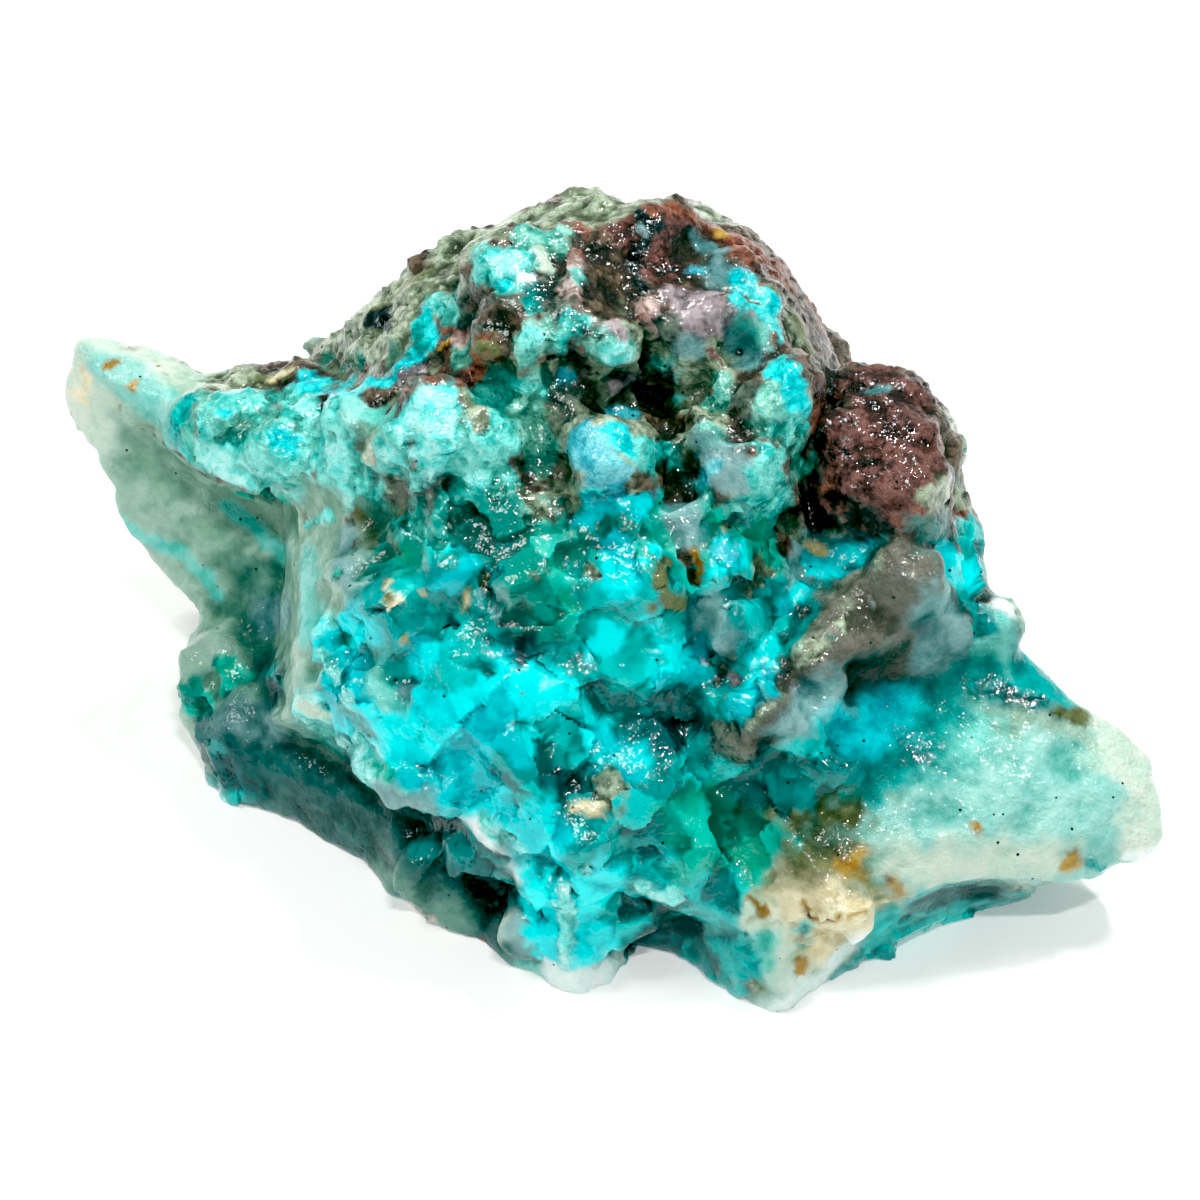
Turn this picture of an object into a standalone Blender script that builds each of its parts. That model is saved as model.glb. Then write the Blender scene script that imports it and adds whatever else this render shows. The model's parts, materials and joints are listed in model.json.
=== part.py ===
"""Rough chrysocolla, a single lump of blue-green crust and pale silica on iron-stained matrix.

The stone was surveyed from one picture, 1200 pixels square. A landmark is a pixel of that picture
and a height above the table, and it lies where the sight line through the pixel meets that height.
Lengths in the survey are in millimetres; the finished stone is in metres, +Z up, standing on z = 0.
"""

import itertools
import math
import random

import bmesh
import bpy
from mathutils import Matrix, Vector, geometry, noise
from mathutils.bvhtree import BVHTree

MM = 0.001

# How the picture sees the stone: it looks along +Y and down, at the middle of the stone
VIEW_ELEVATION = math.radians(42)
VIEW_DISTANCE_MM = 220
VIEW_TARGET_MM = Vector((0, -11.5, 10.35))
PIXELS_PER_MM = 18.4
PICTURE_MIDDLE_PX = 600

# Driving sizes of the stone
STONE_WIDTH_MM = 60
SKIRT_MM = 2.5
LEVEL_MM = 0.06
REMESH_MM = 0.45
LET_OUT_MM = 0.14
MOST_TRIANGLES = 9000
SEED = 7

# Relief of the skin, gentler where the picture shows the crust and stronger on the broken sides
WAVE_LENGTH_MM = 6.5
SEEN_WAVE_MM = 0.25
HIDDEN_WAVE_MM = 1.1
CHIP_LENGTH_MM = 2.8
SEEN_CHIP_MM = 0.22
HIDDEN_CHIP_MM = 0.9
CHIP_RIDGE = 0.5
SMOOTHED_SHARE = 0.8
PIT_REACH = 2

# How lumps and blocks sit: the share of the radius or height that is sunk, and how they vary
LOBE_SUNK = 0.6
NODULE_SUNK = 0.35
CRUST_LUMP_SUNK = 0.3
BACK_LUMP_SUNK = 0.78
LUMP_STRETCH = (0.8, 1.2)
LUMP_FLATTENED = 0.9
LUMP_KNOBBLE = 0.13
BLOCK_SUNK = 0.35
BLOCK_LEAN = 0.45
BLOCK_TAPER = (0.55, 1.0)
BLOCK_TILT = (0.6, 1.0)
CRUST_BLOCK_HEIGHT = 0.6
NAMED_BLOCK_HEIGHT = 0.8
BACK_BLOCK_SHAPE = (1, 0.7, 0.45)

# Colour of the wet stone as a whole
STONE_COLOUR = (0.09, 0.52, 0.52, 1)
STONE_ROUGHNESS = 0.3

# Outline of the stone against the table, clockwise in the picture: pixel x, pixel y, height
HORN_TOP = (
    (65, 410, 13.8), (63, 400, 14.4), (67, 376, 15.8), (69, 345, 17.0), (78, 332, 17.5),
    (92, 330, 17.7), (109, 334, 17.6), (134, 344, 17.2), (155, 346, 17.0), (182, 364, 16.6),
    (197, 373, 16.4), (227, 369, 16.6), (256, 369, 16.9), (283, 364, 17.4), (308, 358, 17.9),
)
DOME_CREST = (
    (321, 345, 18.6), (350, 314, 20.5), (384, 286, 22.3), (403, 269, 23.2), (417, 253, 24.0),
    (455, 242, 24.6), (465, 231, 25.1), (495, 221, 25.6), (522, 205, 26.2), (560, 194, 26.6),
    (601, 192, 26.7), (612, 200, 26.4), (643, 210, 25.9), (658, 201, 26.2), (690, 199, 26.3),
    (711, 205, 26.1), (729, 219, 25.6), (764, 246, 24.6), (782, 260, 23.8), (801, 285, 22.8),
    (815, 303, 22.0), (825, 325, 21.4), (835, 350, 20.6), (838, 377, 18.9),
)
RED_LUMP_CREST = (
    (862, 369, 19.6), (882, 367, 20.0), (899, 372, 20.0), (915, 387, 19.6), (935, 397, 19.1),
    (960, 421, 18.1), (962, 472, 16.9), (970, 497, 16.3), (986, 542, 15.3), (985, 587, 14.2),
)
WING_EDGE = (
    (1001, 597, 13.5), (1013, 601, 13.2), (1015, 617, 12.7), (1011, 638, 12.0), (1041, 669, 10.9),
    (1063, 688, 10.3), (1101, 711, 9.4), (1124, 725, 8.9), (1143, 753, 8.0), (1159, 774, 7.3),
    (1168, 797, 6.6), (1172, 816, 6.1), (1164, 849, 5.4), (1141, 866, 5.1), (1124, 864, 5.1),
    (1101, 872, 5.0), (1065, 885, 5.0), (1044, 883, 5.2),
)
FOOT_LINE = (
    (1032, 893), (1002, 906), (979, 920), (944, 925), (906, 943), (868, 960), (845, 967),
    (826, 981), (795, 1006), (780, 1014), (757, 1002), (734, 994), (711, 979), (676, 964),
    (640, 957), (620, 970), (601, 987), (586, 996), (569, 994), (551, 985), (533, 971),
    (511, 964), (479, 940), (447, 933), (404, 906), (386, 896), (376, 874), (361, 858),
    (340, 849), (297, 826), (258, 810), (236, 804), (210, 788),
)
LEDGE_END = (
    (202, 774, 0.6), (195, 746, 1.5), (188, 732, 2.0), (172, 723, 2.4), (164, 710, 2.8),
    (181, 678, 3.8), (180, 647, 4.5), (188, 627, 4.8), (195, 614, 5.0),
)
HORN_UNDER_EDGE = (
    (181, 606, 6.0), (177, 590, 6.5), (162, 571, 7.0), (151, 552, 7.8), (130, 540, 8.3),
    (104, 513, 9.8), (105, 498, 10.3), (97, 467, 11.5), (77, 431, 13.2),
)

# Landmarks on the side that the picture shows: pixel x, pixel y, height
HORN_FACE = (
    (84, 352, 17.6), (110, 352, 17.7), (150, 370, 17.4), (110, 380, 17.2), (150, 395, 17.1),
    (110, 430, 13.9), (150, 450, 12.8), (130, 500, 10.3),
)
CRUST_BAND = (
    (200, 400, 17.3), (205, 430, 17.0), (240, 395, 17.4), (240, 440, 17.3), (280, 390, 18.2),
    (285, 430, 18.0), (280, 462, 16.9), (325, 430, 19.2), (325, 385, 19.4), (325, 362, 19.2),
)
CRUST_RIM = (
    (165, 400, 17.1), (170, 441, 16.3), (185, 456, 16.1), (204, 471, 15.9), (231, 483, 15.8),
    (249, 489, 15.7), (270, 482, 15.8), (289, 498, 15.6), (308, 498, 15.9),
)
HOLLOW_UNDER_CRUST = (
    (176, 462, 12.5), (205, 486, 11.8), (250, 501, 11.0), (285, 512, 11.2), (160, 520, 9.5),
    (210, 550, 8.4), (262, 560, 8.8), (200, 590, 6.4), (240, 610, 6.2), (280, 600, 7.6),
)
SLAB_LEFT_EDGE = (
    (310, 515, 14.6), (302, 552, 13.7), (305, 600, 12.8), (299, 642, 11.9), (292, 690, 10.8),
    (288, 719, 10.0),
)
SLAB_LOWER_EDGE = (
    (326, 721, 9.9), (351, 740, 9.5), (386, 767, 9.0), (392, 783, 8.7), (411, 792, 8.6),
    (454, 810, 8.3), (476, 838, 7.6), (490, 853, 7.2), (513, 871, 6.7), (526, 868, 6.9),
)
UNDER_SLAB = (
    (292, 560, 9.0), (284, 640, 6.6), (277, 700, 5.2), (283, 733, 4.6), (322, 738, 4.8),
    (345, 757, 4.6), (378, 785, 4.6), (400, 803, 4.6), (445, 824, 4.2), (466, 850, 3.5),
    (484, 868, 3.2), (512, 888, 3.0),
)
LOWER_STEP = (
    (230, 650, 5.2), (262, 672, 5.4), (210, 690, 4.2), (218, 735, 4.0), (258, 719, 4.5),
    (225, 748, 2.9), (253, 758, 3.2), (301, 778, 3.6), (351, 796, 3.9), (386, 814, 4.0),
    (400, 855, 3.2), (450, 880, 3.2), (436, 905, 1.8), (520, 920, 2.7),
)
FIRST_KEEL = (
    (545, 893, 4.6), (563, 888, 5.6), (582, 893, 5.0), (563, 950, 2.4), (610, 830, 8.6),
    (604, 905, 4.2), (540, 850, 7.6),
)
FLAKE_AND_HOLLOW = (
    (635, 880, 6.4), (662, 868, 7.0), (692, 872, 6.8), (660, 903, 5.4), (700, 900, 5.4),
    (640, 925, 2.0), (665, 922, 1.8), (695, 925, 2.0), (640, 945, 0.6),
)
SECOND_KEEL = (
    (738, 900, 6.2), (780, 930, 5.1), (778, 975, 2.4), (730, 960, 2.2), (835, 905, 6.0),
    (870, 893, 6.0), (800, 860, 8.0), (850, 940, 2.6),
)
WING_TOP = (
    (860, 705, 12.2), (950, 702, 11.2), (1040, 700, 10.9), (880, 780, 10.0), (960, 785, 9.6),
    (1050, 785, 9.2), (1120, 795, 8.2), (900, 845, 8.2), (980, 840, 8.1), (1060, 838, 7.5),
    (1120, 838, 6.7),
)
WING_FRONT_EDGE = (
    (900, 897, 6.0), (917, 891, 6.1), (952, 880, 6.2), (986, 872, 6.3), (1012, 879, 5.8),
)
RECESS_UNDER_WING = (
    (905, 915, 2.8), (925, 905, 2.4), (960, 893, 2.2), (1000, 887, 2.0),
)
QUARTZ_RIDGE = (
    (750, 735, 13.2), (790, 690, 14.7), (820, 640, 16.2), (850, 600, 17.2), (880, 570, 17.9),
    (905, 550, 18.0), (930, 595, 16.6), (955, 635, 14.4), (960, 560, 16.9), (800, 715, 12.8),
    (850, 675, 13.2), (905, 680, 12.2), (965, 662, 12.2), (890, 630, 15.6), (1004, 622, 14.4),
)
RED_LUMP = (
    (865, 390, 21.0), (905, 392, 21.0), (945, 420, 19.6), (880, 425, 21.9), (852, 415, 20.7),
    (918, 430, 20.9), (850, 480, 19.9), (900, 480, 20.2), (942, 470, 18.7), (850, 535, 18.0),
    (885, 530, 18.1), (922, 500, 18.2), (850, 556, 16.8),
)
TROUGH = (
    (836, 400, 19.8), (828, 450, 18.9), (818, 500, 18.1), (804, 548, 17.2), (790, 590, 16.3),
    (770, 640, 15.2), (742, 690, 13.0), (700, 705, 12.6),
)
DOME_TOP = (
    (600, 208, 27.8), (560, 212, 27.7), (655, 220, 27.2), (690, 216, 27.3), (730, 240, 26.7),
    (770, 275, 25.6), (800, 320, 24.2), (815, 365, 22.6), (500, 240, 26.8), (430, 272, 24.9),
    (370, 318, 22.2), (350, 345, 21.2), (395, 340, 23.2), (420, 300, 25.0), (480, 290, 26.5),
    (520, 275, 27.5), (565, 250, 28.6), (582, 285, 28.4), (640, 250, 27.9), (650, 315, 26.9),
    (720, 315, 26.8), (745, 285, 26.9), (775, 330, 25.4), (740, 355, 25.4), (450, 330, 25.2),
    (525, 345, 26.2), (612, 345, 26.9), (662, 385, 24.6),
)
DOME_SHOULDER = (
    (430, 390, 22.9), (370, 380, 21.4), (370, 440, 20.6), (430, 445, 22.2), (500, 415, 23.1),
    (570, 435, 23.4), (640, 450, 23.0), (720, 405, 24.4), (700, 470, 22.7), (760, 465, 22.0),
    (787, 395, 23.6), (802, 440, 21.6), (370, 500, 18.9), (440, 520, 19.9), (510, 495, 21.4),
    (580, 510, 21.4), (640, 540, 20.6), (700, 550, 19.9), (760, 540, 19.1),
)
MAIN_FACE = (
    (350, 570, 15.9), (345, 640, 13.7), (340, 695, 11.4), (420, 600, 17.0), (420, 680, 14.0),
    (420, 750, 11.0), (490, 600, 17.9), (490, 680, 14.7), (490, 760, 11.1), (500, 820, 9.0),
    (560, 620, 17.4), (560, 700, 14.1), (560, 780, 10.9), (630, 615, 17.5), (640, 690, 13.9),
    (640, 770, 10.8), (660, 830, 8.4), (700, 620, 17.0), (720, 755, 11.0), (730, 830, 8.6),
    (790, 765, 11.2),
)

# Landmarks on the sides that the picture doesn't show: x, y and height
BACK_FACE = (
    (-27, 2.4, 14.3), (-22, 3.4, 12.7), (-17, 4, 12.8), (-12, 4.6, 17.8), (-7, 6, 20.8),
    (-2, 7.4, 22.2), (3, 7.4, 21.7), (8, 6, 20.6), (12, 3.6, 16.8), (16, -0.6, 16.4),
    (19, -3, 14.9), (20, -9, 10.5), (-24.4, 1.4, 9.2), (-20, 5.6, 8.4), (-15, 9, 10.2),
    (-9, 9.8, 15.6), (-3, 11.8, 15.2), (2, 11, 12.6), (7, 10, 14.2), (12, 7.6, 10.6),
    (16, 2.6, 10.8), (19, -3.4, 8.6), (20.6, -10, 6.4), (-21.6, 1.6, 5), (-18, 7.4, 3.4),
    (-12, 10.6, 5.4), (-6, 12.6, 4), (0, 12.8, 6.4), (6, 11.4, 4.2), (11, 9, 5.2),
    (16, 3, 3.4), (19, -5, 3.2), (22.4, -12, 7.4), (24.5, -14.8, 7.2),
)
BACK_FOOT = (
    (-19, 4.6, -SKIRT_MM), (-13, 9, -SKIRT_MM), (-6, 11, -SKIRT_MM), (1, 11.4, -SKIRT_MM),
    (7, 10, -SKIRT_MM), (13, 5.4, -SKIRT_MM), (17.4, -1.4, -SKIRT_MM), (19.6, -8, -SKIRT_MM),
    (21.2, -14, -SKIRT_MM), (22.4, -19, -SKIRT_MM), (22.8, -22, -SKIRT_MM),
)
WING_UNDERSIDE = (
    (23.4, -16, 4.2), (27, -20.5, 5.6), (27.5, -24, 3.8), (29.2, -23, 4.8), (25.4, -21.6, 3.4),
    (25.2, -24.6, 3.2),
)
UNDERSIDE = (
    (-20, -5, -SKIRT_MM), (-17, -12, -SKIRT_MM), (-10, 0, 1.2), (-8, -10, 1.6), (-3, -20, 0.8),
    (-10, -18, -SKIRT_MM), (2, 3, -SKIRT_MM), (4, -8, 1.8), (9, -18, 1.4), (12, -4, -SKIRT_MM),
    (18, -15, -SKIRT_MM), (17, -22, -SKIRT_MM), (3, -26, -SKIRT_MM), (9, -28, -SKIRT_MM),
)


# Lobes that the crust bulges out in: pixel x, pixel y, radius
LOBES = (
    (428, 436, 3.4), (488, 446, 2.6), (372, 412, 2.4), (610, 455, 3.0), (572, 330, 2.2),
    (520, 335, 2.6), (235, 425, 2.2), (290, 445, 2.2), (780, 400, 2.8), (740, 470, 2.4),
    (900, 480, 2.4), (510, 270, 2.6), (640, 240, 2.2), (655, 590, 2.4),
)

# Named lumps of the crust: pixel x, pixel y, radius
NODULES = (
    (612, 345, 1.75), (583, 372, 1.1), (640, 372, 1.0), (525, 345, 1.45), (535, 392, 1.3),
    (560, 405, 0.9), (500, 270, 1.5), (540, 250, 1.2), (470, 300, 1.2), (575, 330, 1.0),
    (395, 450, 1.7), (425, 420, 1.7), (460, 425, 1.8), (440, 465, 1.5), (500, 445, 1.4),
    (475, 500, 1.3), (520, 420, 1.4), (350, 455, 1.3), (410, 380, 1.3), (570, 440, 1.5),
    (610, 430, 1.6), (640, 445, 1.4), (600, 480, 1.5), (645, 490, 1.4), (560, 395, 1.1),
    (190, 415, 1.3), (215, 400, 1.2), (215, 440, 1.3), (245, 415, 1.3), (255, 455, 1.3),
    (285, 440, 1.3), (305, 465, 1.3), (320, 410, 1.3), (345, 395, 1.2), (340, 470, 1.4),
    (785, 375, 1.4), (790, 405, 1.5), (775, 440, 1.3), (760, 300, 1.2), (770, 335, 1.1),
    (735, 270, 1.1), (730, 440, 1.4), (745, 480, 1.4), (775, 490, 1.3), (705, 440, 1.2),
    (610, 215, 1.3), (650, 225, 1.2), (675, 225, 1.4), (860, 395, 1.4), (900, 400, 1.5),
    (930, 425, 1.3), (880, 440, 1.6), (850, 465, 1.3), (910, 465, 1.4), (945, 455, 1.2),
    (730, 740, 1.3), (690, 560, 1.2), (730, 560, 1.3), (640, 600, 1.4), (545, 600, 1.4),
)

# Where smaller lumps of the crust crowd: pixel x, pixel y, radius in pixels
CRUST_ZONES = (
    (230, 430, 60), (330, 420, 60), (420, 440, 90), (400, 540, 70), (510, 300, 80),
    (520, 470, 90), (600, 470, 90), (620, 300, 90), (740, 350, 90), (740, 480, 60),
    (880, 450, 70), (650, 570, 80), (520, 580, 80), (740, 580, 50),
)
CRUST_LUMPS = 90
CRUST_LUMP_MM = (0.7, 1.15)

# Where the face breaks into flat-sided blocks
BLOCK_ZONES = (
    (360, 640, 60), (450, 640, 70), (440, 730, 70), (540, 700, 80), (540, 800, 60),
    (640, 700, 80), (640, 800, 70), (800, 740, 50), (740, 650, 50), (250, 660, 45),
    (900, 620, 50), (600, 880, 60), (400, 860, 40), (560, 620, 60),
)
CRUST_BLOCKS = 60
CRUST_BLOCK_MM = (1.2, 2.2)

# Blocks that show on their own: pixel x, pixel y, half length, half width, turn in the picture
BLOCKS = (
    (325, 690, 1.6, 1.0, 70), (368, 700, 1.6, 1.2, 20), (420, 720, 1.7, 1.1, 35),
    (540, 880, 2.2, 1.2, 10), (600, 800, 1.5, 1.0, 60), (610, 712, 1.4, 1.1, 80),
    (580, 285, 1.9, 1.1, 80), (650, 317, 1.3, 0.8, 75), (722, 308, 1.9, 1.0, 30),
    (665, 885, 1.9, 1.0, 20), (1004, 616, 1.1, 0.8, 70), (930, 590, 2.4, 1.2, 75),
    (895, 600, 2.0, 1.2, 110), (985, 652, 1.6, 0.8, 25), (860, 640, 2.2, 1.0, 50),
    (775, 712, 2.0, 0.9, 40), (820, 665, 1.9, 0.9, 55), (480, 850, 2.0, 1.0, -50),
    (525, 920, 1.8, 1.2, 20), (218, 648, 1.3, 0.9, 10), (250, 700, 1.5, 0.8, 20),
    (187, 664, 1.5, 0.7, 60), (192, 695, 1.2, 0.8, 30), (297, 368, 0.8, 0.5, 80),
    (740, 745, 1.2, 0.9, 60), (835, 905, 2.4, 1.4, -20), (570, 940, 1.6, 0.9, 80),
)

# Lumps and blocks of broken matrix on the back: x, height, radius or half length
BACK_LUMPS = (
    (-3, 14, 4.4), (8, 8, 3.8), (-14, 7, 3.4), (0, 5, 3.0), (15, 4, 2.8), (-8, 9, 2.8),
    (4, 17, 3.0), (12, 12, 2.8),
)
BACK_BLOCKS = (
    (3, 11, 2.8), (14, 9, 2.4), (-19, 6, 2.2), (-7, 4, 2.8), (11, 4, 2.4), (-22, 9, 1.8),
    (18, 6, 2.0), (5, 4, 2.2), (-15, 11, 2.2), (-11, 3, 2.2), (-9, 14, 2.6), (1, 19, 2.2),
)

# Holes in the crust: pixel x, pixel y, radius, depth
PITS = (
    (415, 447, 0.6, 0.9), (418, 510, 0.8, 1.0), (495, 490, 0.5, 0.8), (470, 530, 0.7, 0.8),
    (660, 385, 1.0, 1.7), (740, 352, 0.8, 1.2), (720, 405, 0.7, 1.0), (590, 675, 0.8, 1.0),
    (610, 700, 0.8, 1.2), (378, 320, 0.7, 0.8), (267, 492, 1.2, 1.4), (560, 370, 0.7, 1.0),
    (700, 372, 0.8, 1.2), (360, 655, 0.7, 0.9), (450, 690, 0.8, 0.9), (690, 725, 1.2, 1.2),
    (740, 430, 0.8, 1.0), (640, 915, 1.2, 1.0), (560, 500, 0.7, 0.8), (490, 640, 0.8, 0.8),
)

# Furrows and cracks: width, depth, then the pixels that they run through
FURROWS = (
    (1.0, 1.1, (545, 400), (575, 385), (612, 398), (660, 388), (700, 385)),
    (0.7, 1.0, (344, 646), (369, 656), (390, 674), (422, 683), (444, 690), (472, 712)),
    (0.9, 0.8, (676, 480), (692, 550), (700, 610), (690, 690)),
    (0.8, 1.0, (585, 640), (600, 700), (660, 722), (715, 742)),
    (0.8, 0.8, (470, 515), (505, 545), (560, 520), (600, 520)),
    (1.2, 1.0, (322, 352), (352, 385), (385, 402), (400, 470), (375, 520)),
    (1.0, 0.8, (606, 850), (622, 900), (638, 945)),
    (0.9, 0.8, (500, 330), (505, 380), (545, 430), (555, 470)),
    (0.9, 0.9, (650, 350), (668, 400), (672, 450), (690, 500)),
    (0.9, 0.8, (690, 800), (740, 840), (760, 900), (770, 960)),
)

# Smooth stretches of pale silica, where the broken relief fades: pixel x, pixel y, height, radius
SMOOTH_ZONES = (
    (980, 780, 9.5, 9), (1080, 780, 9.0, 9), (110, 400, 15.5, 6), (220, 540, 8.5, 7),
    (130, 480, 11.5, 5), (800, 920, 5.5, 5), (330, 640, 13, 3),
)


def view_axes():
    """Right, up and forward of the view, as unit vectors."""
    forward = Vector((0, math.cos(VIEW_ELEVATION), -math.sin(VIEW_ELEVATION)))
    up = Vector((0, math.sin(VIEW_ELEVATION), math.cos(VIEW_ELEVATION)))
    return Vector((1, 0, 0)), up, forward


def eye():
    return VIEW_TARGET_MM - view_axes()[2] * VIEW_DISTANCE_MM


def sighted(px, py, height):
    """Point where the sight line through a pixel meets a height above the table."""
    right, up, forward = view_axes()
    line = forward * VIEW_DISTANCE_MM * PIXELS_PER_MM
    line = line + right * (px - PICTURE_MIDDLE_PX) + up * (PICTURE_MIDDLE_PX - py)
    return eye() + line * ((height - eye().z) / line.z)


def pictured(point):
    """Pixel at which a point shows, measured upwards from the picture's middle."""
    right, up, forward = view_axes()
    seen = point - eye()
    scale = VIEW_DISTANCE_MM * PIXELS_PER_MM / seen.dot(forward)
    return Vector((seen.dot(right), seen.dot(up))) * scale


def sheet(points, loop_length):
    """Triangles that join the points as the picture sees them, within the loop of the first ones."""
    flat = [pictured(point) for point in points]
    loop = list(range(loop_length))
    found = geometry.delaunay_2d_cdt(flat, [], [loop], 1, 1e-4)
    origin = [sources[0] for sources in found[3]]
    return [tuple(origin[corner] for corner in face) for face in found[2]]


def blockout():
    """Closed hull of big facets: the seen sheet and the hidden sheet, joined along the outline."""
    upper = HORN_TOP + DOME_CREST + RED_LUMP_CREST + WING_EDGE
    side = LEDGE_END + HORN_UNDER_EDGE
    foot = [sighted(px, py, 0) for px, py in FOOT_LINE]
    skirt = [point - Vector((0, 0, SKIRT_MM)) for point in foot]
    loop = [sighted(*mark) for mark in upper] + skirt + [sighted(*mark) for mark in side]
    seen_marks = (
        HORN_FACE + CRUST_BAND + CRUST_RIM + HOLLOW_UNDER_CRUST + SLAB_LEFT_EDGE
        + SLAB_LOWER_EDGE + UNDER_SLAB + LOWER_STEP + FIRST_KEEL + FLAKE_AND_HOLLOW
        + SECOND_KEEL + WING_TOP + WING_FRONT_EDGE + RECESS_UNDER_WING + QUARTZ_RIDGE
        + RED_LUMP + TROUGH + DOME_TOP + DOME_SHOULDER + MAIN_FACE
    )
    seen = foot + [sighted(*mark) for mark in seen_marks]
    hidden = [Vector(mark) for mark in BACK_FACE + BACK_FOOT + WING_UNDERSIDE + UNDERSIDE]
    hull = bmesh.new()
    verts = [hull.verts.new(point) for point in loop + seen + hidden]
    front = sheet(loop + seen, len(loop))
    back = sheet(loop + hidden, len(loop))
    ears = {frozenset(face) for face in front} & {frozenset(face) for face in back}
    ears = {ear for ear in ears if max(ear) < len(loop)}
    for face in front:
        if frozenset(face) not in ears:
            hull.faces.new([verts[corner] for corner in face])
    for face in back:
        if frozenset(face) not in ears:
            shifted = [c if c < len(loop) else c + len(seen) for c in face]
            hull.faces.new([verts[corner] for corner in reversed(shifted)])
    return hull


def surface_of(body):
    return BVHTree.FromBMesh(body)


def landed(tree, px, py):
    """Point and outward normal where the sight line through a pixel meets the stone."""
    line = (sighted(px, py, 0) - eye()).normalized()
    point, normal, _, _ = tree.ray_cast(eye(), line)
    return (point, normal) if point else (None, None)


def landed_behind(tree, x, height):
    """Point and outward normal where a level line from straight behind meets the stone."""
    start = Vector((x, STONE_WIDTH_MM, height))
    point, normal, _, _ = tree.ray_cast(start, Vector((0, -1, 0)))
    return point, normal


def in_zone(zones, draw):
    """A pixel drawn at random inside one of the zones, a larger zone being drawn more often."""
    px, py, radius = draw.choices(zones, [zone[2] ** 2 for zone in zones])[0]
    turn = draw.uniform(0, math.tau)
    reach = radius * math.sqrt(draw.random())
    return px + reach * math.cos(turn), py + reach * math.sin(turn)


def facing(point, normal):
    """Place and turn of a thing that stands on the surface at a point, along its normal."""
    aim = normal.to_track_quat("Z", "Y").to_matrix().to_4x4()
    return Matrix.Translation(point) @ aim


def add_lump(body, point, normal, radius, sunk, draw):
    """A knobbly lump, a little flattened and sunk into the surface by a share of its radius."""
    turn = Matrix.Rotation(draw.uniform(0, math.tau), 4, "Z")
    stretch = [draw.uniform(*LUMP_STRETCH) for _ in range(2)]
    shape = Matrix.Diagonal((stretch[0], stretch[1], LUMP_FLATTENED, 1))
    place = facing(point - normal * radius * sunk, normal) @ turn @ shape
    made = bmesh.ops.create_icosphere(body, subdivisions=2, radius=radius, matrix=place)
    knobble = LUMP_KNOBBLE * radius
    for vertex in made["verts"]:
        vertex.co += Vector([draw.uniform(-knobble, knobble) for _ in range(3)])


def add_block(body, point, normal, size, draw, turn=None):
    """A flat-sided block of broken crystal, tapering and leaning a little out of the surface."""
    lean = normal + Vector([draw.uniform(-BLOCK_LEAN, BLOCK_LEAN) for _ in range(3)])
    spin = draw.uniform(0, math.tau) if turn is None else math.radians(turn)
    place = facing(point - normal * size[2] * BLOCK_SUNK, lean) @ Matrix.Rotation(spin, 4, "Z")
    corners = []
    for side_x, side_y, side_z in itertools.product((-1, 1), repeat=3):
        taper = draw.uniform(*BLOCK_TAPER) if side_z > 0 else 1
        height = side_z * size[2] * draw.uniform(*BLOCK_TILT)
        corner = Vector((side_x * size[0] * taper, side_y * size[1] * taper, height))
        corners.append(body.verts.new(place @ corner))
    bmesh.ops.convex_hull(body, input=corners)


def add_lobes_and_nodules(body, tree, draw):
    for px, py, radius in LOBES:
        add_lump(body, *landed(tree, px, py), radius, LOBE_SUNK, draw)
    for px, py, radius in NODULES:
        add_lump(body, *landed(tree, px, py), radius, NODULE_SUNK, draw)
    for _ in range(CRUST_LUMPS):
        point, normal = landed(tree, *in_zone(CRUST_ZONES, draw))
        if point:
            add_lump(body, point, normal, draw.uniform(*CRUST_LUMP_MM), CRUST_LUMP_SUNK, draw)


def add_blocks(body, tree, draw):
    for _ in range(CRUST_BLOCKS):
        point, normal = landed(tree, *in_zone(BLOCK_ZONES, draw))
        if point:
            size = [draw.uniform(*CRUST_BLOCK_MM) for _ in range(3)]
            size[2] *= CRUST_BLOCK_HEIGHT
            add_block(body, point, normal, size, draw)
    for px, py, length, width, turn in BLOCKS:
        size = (length, width, width * NAMED_BLOCK_HEIGHT)
        add_block(body, *landed(tree, px, py), size, draw, turn)


def add_broken_back(body, tree, draw):
    for x, height, radius in BACK_LUMPS:
        add_lump(body, *landed_behind(tree, x, height), radius, BACK_LUMP_SUNK, draw)
    for x, height, length in BACK_BLOCKS:
        size = [length * share for share in BACK_BLOCK_SHAPE]
        add_block(body, *landed_behind(tree, x, height), size, draw)


def modified(stone, kind, **settings):
    """Adds a modifier to the stone, sets it and applies it."""
    modifier = stone.modifiers.new(kind.title(), kind)
    for name, value in settings.items():
        setattr(modifier, name, value)
    bpy.context.view_layer.objects.active = stone
    bpy.ops.object.modifier_apply(modifier=modifier.name)


def fused(body):
    """One closed skin around the hull and all that stands on it."""
    mesh = bpy.data.meshes.new("chrysocolla_stone")
    body.to_mesh(mesh)
    stone = bpy.data.objects.new("chrysocolla_stone", mesh)
    bpy.context.scene.collection.objects.link(stone)
    modified(stone, "REMESH", mode="VOXEL", voxel_size=REMESH_MM)
    return stone


def smoothness(point, zones):
    """How smooth the surface is at a point, from 0 to 1."""
    return max(max(0, 1 - (point - middle).length / radius) for middle, radius in zones)


def furrow_depth(point, furrow):
    """How deep a furrow cuts at a point: deepest along its line, and fading over its width."""
    width, depth, line = furrow
    nearest = STONE_WIDTH_MM
    for start, end in zip(line, line[1:]):
        foot, share = geometry.intersect_point_line(point, start, end)
        foot = start.lerp(end, min(1, max(0, share)))
        nearest = min(nearest, (point - foot).length)
    return depth * math.exp(-((nearest / width) ** 2))


def pit_depth(point, pits):
    """How deep the pits around a point dip, all together."""
    dip = 0
    for middle, radius, depth in pits:
        reach = (point - middle).length / radius
        if reach < PIT_REACH:
            dip += depth * math.exp(-reach * reach)
    return dip


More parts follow.
